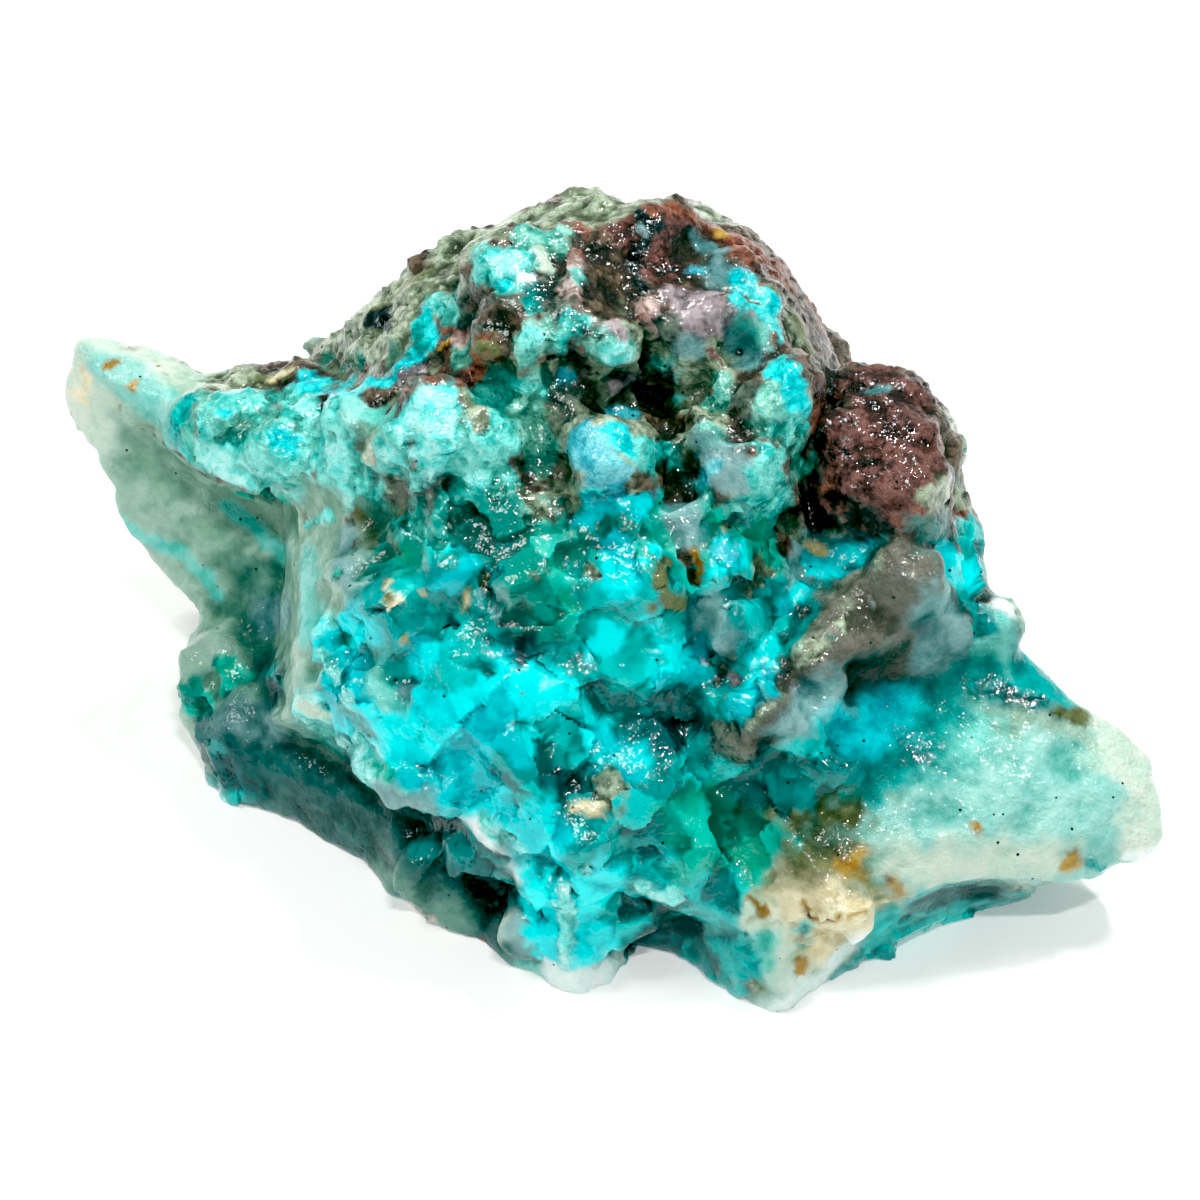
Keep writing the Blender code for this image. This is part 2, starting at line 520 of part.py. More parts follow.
def relief(point, hidden, zones):
    """Height of the waves and chips at a point, from how hidden and how smooth it is."""
    wave = SEEN_WAVE_MM + (HIDDEN_WAVE_MM - SEEN_WAVE_MM) * hidden
    chip = SEEN_CHIP_MM + (HIDDEN_CHIP_MM - SEEN_CHIP_MM) * hidden
    chip *= 1 - SMOOTHED_SHARE * smoothness(point, zones)
    near, far = noise.voronoi(point / CHIP_LENGTH_MM)[0][:2]
    waves = wave * noise.fractal(point / WAVE_LENGTH_MM, 1, 2, 3)
    return waves + chip * (min(far - near, CHIP_RIDGE) - CHIP_RIDGE / 2)


def roughen(stone):
    """Waves, chips, pits and furrows in the skin."""
    body = bmesh.new()
    body.from_mesh(stone.data)
    body.normal_update()
    towards_eye = -view_axes()[2]
    tree = surface_of(body)
    zones = [(sighted(px, py, height), radius) for px, py, height, radius in SMOOTH_ZONES]
    pits = [(landed(tree, px, py)[0], radius, depth) for px, py, radius, depth in PITS]
    furrows = [
        (width, depth, [landed(tree, px, py)[0] for px, py in line])
        for width, depth, *line in FURROWS
    ]
    moves = []
    for vertex in body.verts:
        hidden = min(1, max(0, 0.5 - 2 * vertex.normal.dot(towards_eye)))
        move = LET_OUT_MM + relief(vertex.co, hidden, zones)
        move -= pit_depth(vertex.co, pits)
        move -= max(furrow_depth(vertex.co, furrow) for furrow in furrows)
        moves.append(vertex.normal * move)
    for vertex, move in zip(body.verts, moves):
        vertex.co += move
    body.to_mesh(stone.data)
    body.free()


def cut_flat(stone):
    """Cuts the stone off level with the table, and closes the cut."""
    body = bmesh.new()
    body.from_mesh(stone.data)
    every = body.verts[:] + body.edges[:] + body.faces[:]
    bmesh.ops.bisect_plane(body, geom=every, plane_co=(0, 0, 0), plane_no=(0, 0, 1), clear_inner=True)
    rim = [edge for edge in body.edges if edge.is_boundary]
    bmesh.ops.triangle_fill(body, edges=rim, use_beauty=True, normal=(0, 0, -1))
    bmesh.ops.recalc_face_normals(body, faces=body.faces)
    body.to_mesh(stone.data)
    body.free()


def thin_out(stone):
    """Leaves no more facets than the stone's look needs, and keeps its foot level."""
    triangles = sum(len(face.vertices) - 2 for face in stone.data.polygons)
    modified(stone, "DECIMATE", ratio=MOST_TRIANGLES / triangles)
    for vertex in stone.data.vertices:
        if vertex.co.z < LEVEL_MM:
            vertex.co.z = 0


def centre(stone):
    """Puts the stone in metres, with the middle of its box over the origin."""
    corners = [vertex.co for vertex in stone.data.vertices]
    middle = [(min(c[axis] for c in corners) + max(c[axis] for c in corners)) / 2 for axis in (0, 1)]
    stone.data.transform(Matrix.Scale(MM, 4) @ Matrix.Translation((-middle[0], -middle[1], 0)))


def dress(stone):
    """Gives the stone its wet blue-green material."""
    material = bpy.data.materials.new("wet_chrysocolla")
    material.use_nodes = True
    shader = material.node_tree.nodes["Principled BSDF"]
    shader.inputs["Base Color"].default_value = STONE_COLOUR
    shader.inputs["Roughness"].default_value = STONE_ROUGHNESS
    shader.inputs["Metallic"].default_value = 0
    stone.data.materials.append(material)


def clear_scene():
    for thing in list(bpy.data.objects):
        bpy.data.objects.remove(thing)


def main():
    clear_scene()
    body = blockout()
    tree = surface_of(body)
    draw = random.Random(SEED)
    add_lobes_and_nodules(body, tree, draw)
    add_blocks(body, tree, draw)
    add_broken_back(body, tree, draw)
    stone = fused(body)
    body.free()
    roughen(stone)
    cut_flat(stone)
    thin_out(stone)
    centre(stone)
    dress(stone)


if __name__ == "__main__":
    main()
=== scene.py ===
"""Looks of the rough chrysocolla: its grown and broken skin, its minerals and the light on it.

A place on the seen side is given as a pixel of a picture 1200 pixels square, and is found by its
sight line. A place on a hidden side is given as x, y, z in millimetres of the stone's frame.
"""

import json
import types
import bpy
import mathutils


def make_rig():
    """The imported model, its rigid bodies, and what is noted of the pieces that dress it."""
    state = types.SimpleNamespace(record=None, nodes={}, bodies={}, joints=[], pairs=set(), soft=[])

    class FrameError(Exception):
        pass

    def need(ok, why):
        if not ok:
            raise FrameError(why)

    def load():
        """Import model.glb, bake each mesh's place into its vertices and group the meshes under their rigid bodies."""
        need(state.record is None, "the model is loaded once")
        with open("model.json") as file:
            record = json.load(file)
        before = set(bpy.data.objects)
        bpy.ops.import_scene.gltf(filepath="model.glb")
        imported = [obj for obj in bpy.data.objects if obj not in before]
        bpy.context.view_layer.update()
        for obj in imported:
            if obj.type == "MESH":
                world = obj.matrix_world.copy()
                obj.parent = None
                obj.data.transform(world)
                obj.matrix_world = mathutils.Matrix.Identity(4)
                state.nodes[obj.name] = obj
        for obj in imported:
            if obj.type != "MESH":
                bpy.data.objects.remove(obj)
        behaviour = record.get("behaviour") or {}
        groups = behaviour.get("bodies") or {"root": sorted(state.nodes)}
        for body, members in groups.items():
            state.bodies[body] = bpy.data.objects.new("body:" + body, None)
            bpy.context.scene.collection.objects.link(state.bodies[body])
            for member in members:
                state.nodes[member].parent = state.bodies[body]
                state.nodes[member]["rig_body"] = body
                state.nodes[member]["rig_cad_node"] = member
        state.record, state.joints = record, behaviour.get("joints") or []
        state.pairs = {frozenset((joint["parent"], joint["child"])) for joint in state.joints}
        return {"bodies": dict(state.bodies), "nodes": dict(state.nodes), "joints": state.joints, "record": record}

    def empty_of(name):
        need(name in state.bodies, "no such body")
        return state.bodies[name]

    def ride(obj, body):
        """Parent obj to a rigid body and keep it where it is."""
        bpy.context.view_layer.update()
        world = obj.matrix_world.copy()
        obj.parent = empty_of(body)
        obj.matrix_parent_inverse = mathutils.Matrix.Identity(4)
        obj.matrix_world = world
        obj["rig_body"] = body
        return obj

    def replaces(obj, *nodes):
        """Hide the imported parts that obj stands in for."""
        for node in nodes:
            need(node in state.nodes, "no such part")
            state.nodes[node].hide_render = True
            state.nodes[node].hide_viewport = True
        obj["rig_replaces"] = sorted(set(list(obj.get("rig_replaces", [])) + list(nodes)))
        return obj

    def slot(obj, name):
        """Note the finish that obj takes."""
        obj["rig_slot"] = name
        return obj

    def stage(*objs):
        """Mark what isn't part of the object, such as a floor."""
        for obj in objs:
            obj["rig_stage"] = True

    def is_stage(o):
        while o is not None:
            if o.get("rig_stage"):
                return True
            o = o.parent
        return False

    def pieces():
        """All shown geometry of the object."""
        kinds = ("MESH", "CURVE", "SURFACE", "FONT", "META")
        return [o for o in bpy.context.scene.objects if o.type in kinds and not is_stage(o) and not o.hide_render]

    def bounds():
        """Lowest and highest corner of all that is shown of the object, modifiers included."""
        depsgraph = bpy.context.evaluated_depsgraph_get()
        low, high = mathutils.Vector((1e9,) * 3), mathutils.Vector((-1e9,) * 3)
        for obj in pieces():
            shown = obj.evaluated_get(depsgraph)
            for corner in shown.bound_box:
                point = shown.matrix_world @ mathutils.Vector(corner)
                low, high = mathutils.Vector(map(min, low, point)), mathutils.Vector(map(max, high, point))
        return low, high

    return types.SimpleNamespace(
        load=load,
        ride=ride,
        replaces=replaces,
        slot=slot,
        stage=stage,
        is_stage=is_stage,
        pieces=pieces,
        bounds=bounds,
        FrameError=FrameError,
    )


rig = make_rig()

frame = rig.load()
CAD_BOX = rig.bounds()

import itertools
import json
import logging
import math
import random
from collections.abc import Iterable, Sequence
from dataclasses import dataclass, field
from enum import Enum
from typing import NamedTuple

import bpy
import numpy as np
from mathutils import Matrix, Vector, kdtree
from mathutils.bvhtree import BVHTree

MM = 0.001
NODE = "chrysocolla_stone"
SIZE_FILE = "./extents.json"
WHITE = (1, 1, 1, 1)
TINY = 1e-6
log = logging.getLogger("rough_chrysocolla")

# a point on a surface and its outward normal
Hit = tuple[Vector, Vector]
# a loose shape's points in millimetres and its faces
Shape = tuple[np.ndarray, list[list[int]]]
# for each mineral its share at each point
Shares = dict[str, np.ndarray]
Socket = bpy.types.NodeSocket


class Habit(Enum):
    """How a mineral's surface has grown or broken."""

    NODULAR = "round nodules that crowd together"
    BLOCKY = "flat-sided broken blocks"
    CALM = "smooth, gently waved"
    GRITTY = "fine gravel"
    CRYSTAL = "larger flat crystal faces"


@dataclass(frozen=True)
class Mineral:
    """One mineral of the stone, as it looks when wet."""

    dark: str
    pale: str
    habit: Habit
    rough: float = 0.3
    glow: float = 0.3
    grit: float = 0.5
    # share of brown that the mineral takes in its seams and dips, partly real rock and partly painted shade
    seam_dirt_and_shade: float = 0.0


MINERALS = {
    # weathered brown rock that carries the rest
    "matrix": Mineral("#241A14", "#665240", Habit.GRITTY, 0.35, 0.05, 1.0, 0.5),
    # brown-grey quartz of the ridge
    "dun": Mineral("#3C382E", "#726E60", Habit.CALM, 0.3, 0.1, 0.8, 0.2),
    # grey-green chalcedony, translucent
    "silica": Mineral("#7CA290", "#A4C6B2", Habit.CALM, 0.3, 0.3, 0.6),
    # darker green-grey chalcedony of the hollows
    "moss": Mineral("#356656", "#6A9886", Habit.CALM, 0.25, 0.25, 0.5),
    # pale cream-green chalcedony
    "horn": Mineral("#A6CCB8", "#D0DECC", Habit.CALM, 0.3, 0.3, 0.6),
    # pale aqua chalcedony
    "wing": Mineral("#5EB0A4", "#9AD4C8", Habit.CALM, 0.25, 0.35, 0.6),
    # clear aqua silica
    "aqua": Mineral("#48B4A8", "#8CDCD0", Habit.CALM, 0.25, 0.3, 0.5),
    # blue-grey silica
    "slate": Mineral("#46787A", "#88B4B2", Habit.CALM, 0.25, 0.25, 0.5),
    # grey-teal silica darkened with painted shade, for the ledge under the overhang and for recesses
    "fen": Mineral("#0A3230", "#346660", Habit.CALM, 0.25, 0.2, 0.5),
    # light turquoise crust
    "crust": Mineral("#14ACA0", "#78EEE0", Habit.NODULAR, 0.3, 0.12, 1.1, 0.4),
    # very pale crust
    "foam": Mineral("#50E4DA", "#B0FFF6", Habit.NODULAR, 0.3, 0.15, 1.1, 0.25),
    # greener crust
    "mint": Mineral("#369E8A", "#8ADCC6", Habit.NODULAR, 0.3, 0.12, 1.1, 0.45),
    # dull grey-green crust
    "sage": Mineral("#58644A", "#AABE9E", Habit.NODULAR, 0.35, 0.08, 1.0, 0.5),
    # brightest cyan
    "cyan": Mineral("#00B4BE", "#0CF6F8", Habit.BLOCKY, 0.25, 0.25, 0.2),
    # blue-green silica of the main face
    "teal": Mineral("#007E7C", "#02BEB8", Habit.BLOCKY, 0.22, 0.25, 0.2),
    # brightest cyan, grown as crust
    "bloom": Mineral("#00B4BE", "#30F4F2", Habit.NODULAR, 0.3, 0.12, 1.0, 0.25),
    # saturated blue-green crust
    "peacock": Mineral("#007C78", "#14BEB4", Habit.NODULAR, 0.3, 0.12, 1.0, 0.25),
    # clear cyan under smooth water
    "pool": Mineral("#009EAC", "#0CE0E6", Habit.CALM, 0.25, 0.25, 0.4),
    # blue-green under smooth water
    "tide": Mineral("#00706E", "#06AAA4", Habit.CALM, 0.25, 0.25, 0.4),
    # duller blue-green of the upper face
    "lagoon": Mineral("#0A7064", "#22AE9C", Habit.BLOCKY, 0.22, 0.25, 0.25),
    # greener silica of the main face
    "jade": Mineral("#007A68", "#10B096", Habit.BLOCKY, 0.22, 0.25, 0.2),
    # darkest teal, the stone's own in places and painted shade in notches, hollows and under rims
    "deep": Mineral("#004648", "#00807C", Habit.BLOCKY, 0.2, 0.15, 0.2),
    # painted shade: nearly black teal laid in the undercut and in the notch between the keels
    "abyss": Mineral("#00282A", "#0C504C", Habit.CALM, 0.25, 0.1, 0.5),
    # sky-blue crust
    "sky": Mineral("#2CA4B8", "#74DAE0", Habit.NODULAR, 0.28, 0.15, 1.0, 0.2),
    # smoky quartz in the hollows
    "smoke": Mineral("#1E2822", "#5C6858", Habit.CRYSTAL, 0.2, 0.15, 0.5),
    # dark red-brown iron oxide
    "iron": Mineral("#260F0D", "#70463F", Habit.GRITTY, 0.25, 0.05, 1.2, 0.4),
    # orange-brown iron oxide
    "rust": Mineral("#44190F", "#8C4E36", Habit.GRITTY, 0.3, 0.05, 1.0, 0.4),
    # grey-lilac quartz plates
    "lilac": Mineral("#54484C", "#A6989C", Habit.CRYSTAL, 0.2, 0.2, 0.4),
    # pinkish quartz
    "blush": Mineral("#8C6A62", "#D6C2B8", Habit.CRYSTAL, 0.22, 0.25, 0.4),
    # yellow-brown stain
    "ochre": Mineral("#664408", "#C29A3C", Habit.CALM, 0.3, 0.1, 0.6),
    # olive stain
    "olive": Mineral("#30381A", "#6C7242", Habit.CALM, 0.3, 0.1, 0.6),
    # cream quartz
    "cream": Mineral("#BAAE7C", "#EDE6C2", Habit.CALM, 0.25, 0.3, 0.6),
    # milky white quartz, and painted glow at keel tips and thin edges where light shines through
    "milk": Mineral("#C8EAE2", "#FCFFFE", Habit.CALM, 0.25, 0.3, 0.4),
    # black manganese crust
    "soot": Mineral("#040606", "#222628", Habit.GRITTY, 0.2, 0.0, 1.0),
}

# Brush strokes, later over earlier: mineral, half its width in millimetres, and the marks that it
# runs through. A mark is a pixel, of two numbers, or a place in millimetres, of three.

# left horn and the hollow silica face under it
LEFT_HORN = (
    ("horn", 3.6, (80, 365), (110, 372), (150, 385)),
    ("silica", 3.6, (110, 450), (150, 470), (200, 520), (230, 560)),
    ("silica", 2.4, (100, 500), (140, 560), (200, 600)),
    ("horn", 1.6, (75, 400), (90, 430)),
    ("wing", 1.2, (100, 360), (130, 372), (150, 392)),
    ("moss", 1.2, (240, 572), (264, 572), (278, 592)),
    ("moss", 0.9, (225, 610), (245, 615), (260, 605)),
    ("aqua", 0.5, (115, 518), (140, 535), (180, 552), (215, 585)),
    ("aqua", 0.45, (225, 500), (255, 530), (290, 560)),
    ("aqua", 1.2, (150, 405), (165, 425)),
    ("cream", 0.6, (76, 396), (82, 378)),
    ("rust", 0.16, (155, 353), (161, 370)),
    ("ochre", 0.3, (133, 387)),
    ("ochre", 0.35, (112, 364)),
)

# crust band along the saddle
SADDLE_CRUST = (
    ("mint", 2.3, (200, 410), (240, 430), (290, 440)),
    ("crust", 1.8, (205, 455), (240, 465), (285, 470)),
    ("sage", 1.1, (205, 382), (235, 380), (262, 385)),
    ("crust", 1.4, (240, 400), (300, 400), (300, 440)),
    ("foam", 0.9, (215, 462), (245, 478), (290, 488)),
    ("foam", 0.7, (300, 405), (315, 425), (315, 460)),
    ("bloom", 0.8, (275, 437), (290, 445)),
    ("bloom", 0.4, (224, 412)),
    ("peacock", 0.75, (183, 405), (178, 425), (184, 450)),
    ("jade", 0.5, (186, 432), (192, 456)),
    ("moss", 0.2, (196, 405), (193, 425), (197, 440)),
    ("olive", 0.5, (265, 380), (285, 377)),
    ("cream", 0.35, (290, 372), (275, 380)),
    ("jade", 0.7, (250, 495), (268, 490), (282, 498)),
    ("deep", 0.45, (262, 490), (272, 492)),
)

# saddle below the dome
SADDLE = (
    ("bloom", 1.0, (312, 380), (340, 392), (350, 400)),
    ("bloom", 1.0, (345, 398), (380, 385), (412, 358)),
    ("peacock", 0.7, (335, 412), (345, 425)),
    ("sage", 1.2, (322, 358), (350, 350), (385, 345)),
    ("mint", 0.7, (330, 362), (360, 358)),
    ("moss", 0.6, (395, 345), (400, 358)),
    ("aqua", 0.9, (355, 412), (388, 415)),
    ("moss", 0.7, (362, 432), (382, 432)),
    ("matrix", 0.6, (372, 402), (395, 385), (430, 365)),
    ("lilac", 0.5, (400, 378), (425, 368)),
    ("iron", 0.28, (393, 403)),
    ("ochre", 0.3, (440, 350), (446, 343)),
    ("olive", 0.5, (478, 345), (490, 350)),
)

# left flank of the dome
DOME_LEFT_FLANK = (
    ("sage", 1.9, (345, 330), (400, 285), (470, 250)),
    ("matrix", 0.9, (420, 262), (445, 260), (470, 268)),
    ("olive", 0.8, (368, 330), (375, 312)),
    ("olive", 0.5, (405, 287), (428, 268)),
    ("sage", 0.9, (350, 345), (365, 330)),
    ("soot", 0.3, (386, 287), (402, 272), (412, 264)),
    ("soot", 0.4, (462, 238), (474, 234)),
    ("soot", 0.62, (372, 318), (384, 316), (385, 330)),
    ("crust", 0.9, (438, 300), (448, 312)),
    ("bloom", 0.9, (424, 325), (432, 342)),
    ("peacock", 0.7, (418, 335), (420, 350)),
    ("smoke", 1.2, (470, 300), (495, 312), (478, 325)),
    ("matrix", 0.6, (490, 285), (470, 300), (510, 318)),
    ("crust", 1.2, (488, 262), (512, 272)),
    ("foam", 0.7, (495, 258), (515, 268)),
    ("bloom", 0.35, (508, 285)),
    ("sage", 2.4, (470, 232), (545, 212), (600, 212)),
    ("matrix", 0.7, (480, 226), (520, 206), (560, 198)),
    ("mint", 1.0, (525, 235), (560, 238)),
    ("horn", 0.5, (538, 256), (545, 270)),
    ("milk", 0.4, (528, 280)),
    ("peacock", 0.55, (540, 292), (535, 305)),
    ("smoke", 0.6, (548, 285), (552, 320), (550, 365)),
    ("smoke", 0.3, (530, 218), (542, 228)),
    ("iron", 0.4, (563, 217), (570, 222)),
)

# nodules and crystals of the dome
DOME_CRYSTALS = (
    ("smoke", 1.3, (570, 310), (585, 330), (570, 345)),
    ("crust", 0.55, (565, 315), (570, 330), (562, 345)),
    ("crust", 0.4, (585, 318)),
    ("mint", 1.4, (525, 345)),
    ("crust", 0.7, (528, 338)),
    ("mint", 1.1, (535, 388)),
    ("crust", 0.7, (537, 395)),
    ("crust", 0.8, (490, 378)),
    ("mint", 0.9, (466, 356)),
    ("blush", 0.5, (459, 338)),
    ("blush", 1.1, (577, 260), (580, 290)),
    ("aqua", 0.4, (578, 277)),
    ("matrix", 0.7, (578, 352), (580, 378), (590, 400)),
    ("sky", 0.55, (562, 375)),
    ("matrix", 1.4, (600, 280), (610, 310), (600, 300)),
    ("matrix", 2.2, (620, 260), (650, 290), (680, 300)),
    ("mint", 1.3, (612, 345)),
    ("foam", 0.6, (612, 352), (618, 362)),
    ("lilac", 0.55, (605, 328), (622, 332)),
    ("lilac", 0.8, (614, 382), (632, 375)),
    ("iron", 1.0, (625, 232), (650, 262), (672, 275)),
    ("rust", 0.7, (650, 208), (675, 210), (690, 225)),
    ("iron", 0.7, (665, 240), (682, 228)),
    ("soot", 0.55, (635, 215), (655, 228), (645, 242)),
    ("soot", 0.25, (662, 216), (672, 214)),
    ("slate", 0.3, (638, 228), (645, 236)),
    ("soot", 0.35, (630, 250), (640, 290)),
    ("rust", 1.3, (705, 222), (740, 240), (775, 268)),
    ("ochre", 0.4, (708, 225), (714, 232)),
    ("iron", 0.6, (760, 265), (775, 268)),
    ("slate", 0.6, (700, 245), (720, 248)),
    ("matrix", 1.0, (785, 285), (805, 320), (822, 350)),
    ("rust", 0.4, (805, 298), (816, 322)),
    ("sage", 0.5, (790, 300), (796, 345)),
    ("matrix", 0.9, (830, 420), (835, 460)),
    ("iron", 0.7, (820, 385), (824, 410)),
    ("matrix", 1.6, (810, 300), (828, 340), (838, 390)),
    ("rust", 0.7, (790, 268), (812, 296), (824, 330)),
    ("olive", 0.7, (800, 318), (812, 345)),
    ("lilac", 1.3, (690, 305), (715, 308), (745, 325)),
    ("lilac", 0.9, (695, 328), (725, 330)),
    ("blush", 0.35, (725, 300), (745, 318)),
    ("iron", 0.3, (712, 285), (730, 296)),
    ("slate", 0.8, (712, 268), (738, 282)),
    ("bloom", 0.75, (742, 280), (770, 298)),
    ("bloom", 0.65, (738, 297), (760, 312), (780, 332)),
    ("aqua", 0.8, (752, 335), (762, 330)),
    ("slate", 0.7, (740, 345), (755, 362)),
    ("bloom", 1.25, (778, 370), (790, 400)),
    ("bloom", 0.8, (795, 385), (804, 418)),
    ("crust", 0.9, (775, 425), (800, 432)),
    ("mint", 1.1, (765, 395), (768, 415)),
    ("soot", 0.28, (737, 353)),
    ("sky", 0.45, (693, 271)),
    ("blush", 0.65, (655, 308), (656, 330)),
    ("rust", 0.3, (639, 318)),
    ("smoke", 0.7, (672, 322), (670, 335)),
    ("slate", 0.6, (680, 345), (700, 350)),
    ("iron", 0.4, (712, 352), (722, 360)),
    ("mint", 0.45, (658, 360), (672, 362)),
    ("soot", 0.45, (653, 385), (668, 378)),
    ("lilac", 0.4, (664, 394)),
    ("aqua", 0.35, (686, 372), (680, 395)),
    ("mint", 0.8, (715, 382), (718, 408)),
    ("rust", 0.22, (708, 376), (711, 392)),
    ("mint", 0.8, (706, 432), (720, 440)),
    ("smoke", 0.25, (702, 418), (728, 419)),
    ("smoke", 0.9, (742, 390), (745, 410)),
    ("matrix", 0.7, (740, 425), (742, 440)),
    ("matrix", 0.4, (738, 435)),
)

# middle of the crust
MIDDLE_CRUST = (
    ("matrix", 1.3, (655, 405), (670, 440)),
    ("sage", 0.7, (684, 440), (676, 455)),
    ("sky", 0.7, (612, 408), (626, 410)),
    ("sky", 1.3, (580, 440), (605, 470)),
    ("bloom", 0.8, (622, 425), (632, 448)),
    ("crust", 1.0, (650, 455), (668, 462)),
    ("crust", 2.3, (425, 420), (445, 450), (400, 460)),
    ("crust", 1.8, (330, 440), (335, 480), (370, 475)),
    ("crust", 1.8, (480, 430), (500, 400), (490, 470)),
    ("foam", 1.7, (440, 400), (425, 430), (440, 455)),
    ("foam", 0.8, (336, 450), (340, 490)),
    ("foam", 0.9, (470, 475), (480, 490)),
    ("foam", 0.9, (395, 450), (390, 470)),
    ("sage", 0.6, (465, 395), (480, 420)),
    ("mint", 1.3, (525, 422), (540, 450)),
    ("matrix", 0.5, (515, 462), (532, 485)),
    ("iron", 0.2, (535, 488), (548, 475), (560, 455)),
    ("smoke", 0.7, (565, 400), (556, 430)),
    ("iron", 0.3, (598, 415), (592, 400)),
    ("smoke", 0.35, (415, 432), (415, 462)),
    ("smoke", 0.6, (445, 478), (435, 492)),
    ("olive", 0.75, (415, 505), (432, 515)),
    ("smoke", 0.45, (415, 508), (430, 518)),
    ("blush", 0.28, (414, 494), (424, 494)),
    ("smoke", 0.45, (488, 490), (494, 497)),
    ("foam", 0.3, (505, 483)),
    ("crust", 1.0, (450, 505), (475, 500)),
    ("mint", 1.1, (500, 510), (525, 530)),
    ("smoke", 0.7, (465, 525), (495, 522)),
    ("slate", 0.35, (468, 525)),
    ("crust", 0.6, (402, 525), (405, 545)),
)

# main face
MAIN_FACE = (
    ("lagoon", 4.0, (400, 580), (470, 570), (560, 580), (640, 560), (740, 560)),
    ("teal", 4.0, (380, 650), (520, 640), (600, 640), (720, 660)),
    ("teal", 4.4, (380, 720), (480, 760), (640, 760), (760, 780), (860, 740)),
    ("teal", 3.6, (540, 850), (620, 860), (700, 850)),
    ("olive", 0.7, (362, 520), (368, 540)),
    ("ochre", 0.28, (372, 518)),
    ("jade", 0.9, (380, 560), (395, 555)),
    ("moss", 0.35, (360, 505), (385, 530), (398, 548)),
    ("cyan", 0.6, (430, 545), (470, 560), (440, 590)),
    ("crust", 0.8, (425, 535), (440, 545)),
    ("cream", 0.4, (385, 585), (398, 602)),
    ("olive", 0.35, (388, 592)),
    ("olive", 0.35, (484, 584), (488, 578)),
    ("cream", 0.35, (468, 592), (469, 602)),
    ("cream", 0.2, (425, 594)),
    ("cream", 0.3, (404, 643)),
    ("smoke", 0.3, (500, 568)),
    ("slate", 0.6, (505, 590), (512, 612)),
    ("smoke", 0.35, (500, 585)),
    ("jade", 1.7, (535, 570), (560, 620), (540, 610)),
    ("sage", 0.4, (538, 572)),
    ("cyan", 0.8, (620, 540), (620, 580), (650, 560)),
    ("cyan", 0.9, (590, 520), (600, 500), (640, 500)),
    ("sky", 0.6, (622, 470), (618, 490)),
    ("sage", 0.4, (590, 565), (598, 572)),
    ("slate", 0.9, (685, 510), (690, 535)),
    ("matrix", 0.7, (662, 480), (672, 495)),
    ("matrix", 0.5, (686, 478), (690, 500)),
    ("olive", 0.4, (666, 560), (662, 580)),
    ("olive", 0.45, (672, 600), (684, 604)),
    ("matrix", 0.5, (685, 560), (690, 580)),
    ("ochre", 0.3, (698, 555), (699, 580), (702, 608)),
    ("olive", 0.3, (655, 605), (642, 632), (618, 650)),
    ("ochre", 0.3, (722, 578), (732, 572)),
    ("iron", 0.2, (572, 517), (580, 517)),
    ("slate", 1.2, (715, 460), (738, 480)),
    ("sky", 0.5, (705, 478), (718, 465)),
    ("crust", 1.4, (765, 470), (770, 500), (750, 505)),
    ("mint", 1.4, (800, 460), (802, 495)),
    ("sage", 1.1, (790, 525), (800, 545)),
    ("jade", 0.9, (715, 520), (745, 530)),
    ("deep", 0.5, (718, 515), (738, 520)),
    ("sage", 0.5, (718, 535)),
    ("cyan", 0.8, (722, 552), (736, 560)),
    ("jade", 1.2, (765, 560), (785, 590)),
    ("sage", 0.7, (760, 570), (755, 600)),
    ("slate", 1.1, (715, 615), (722, 640)),
    ("teal", 1.3, (755, 620), (775, 600)),
    ("smoke", 0.7, (718, 668), (732, 660)),
    ("lilac", 0.45, (738, 676)),
    ("cyan", 1.2, (740, 702), (768, 684)),
    ("cyan", 0.8, (760, 660), (768, 650)),
    ("cyan", 0.6, (650, 620), (665, 640), (645, 640)),
    ("cyan", 1.2, (670, 670), (690, 660)),
)

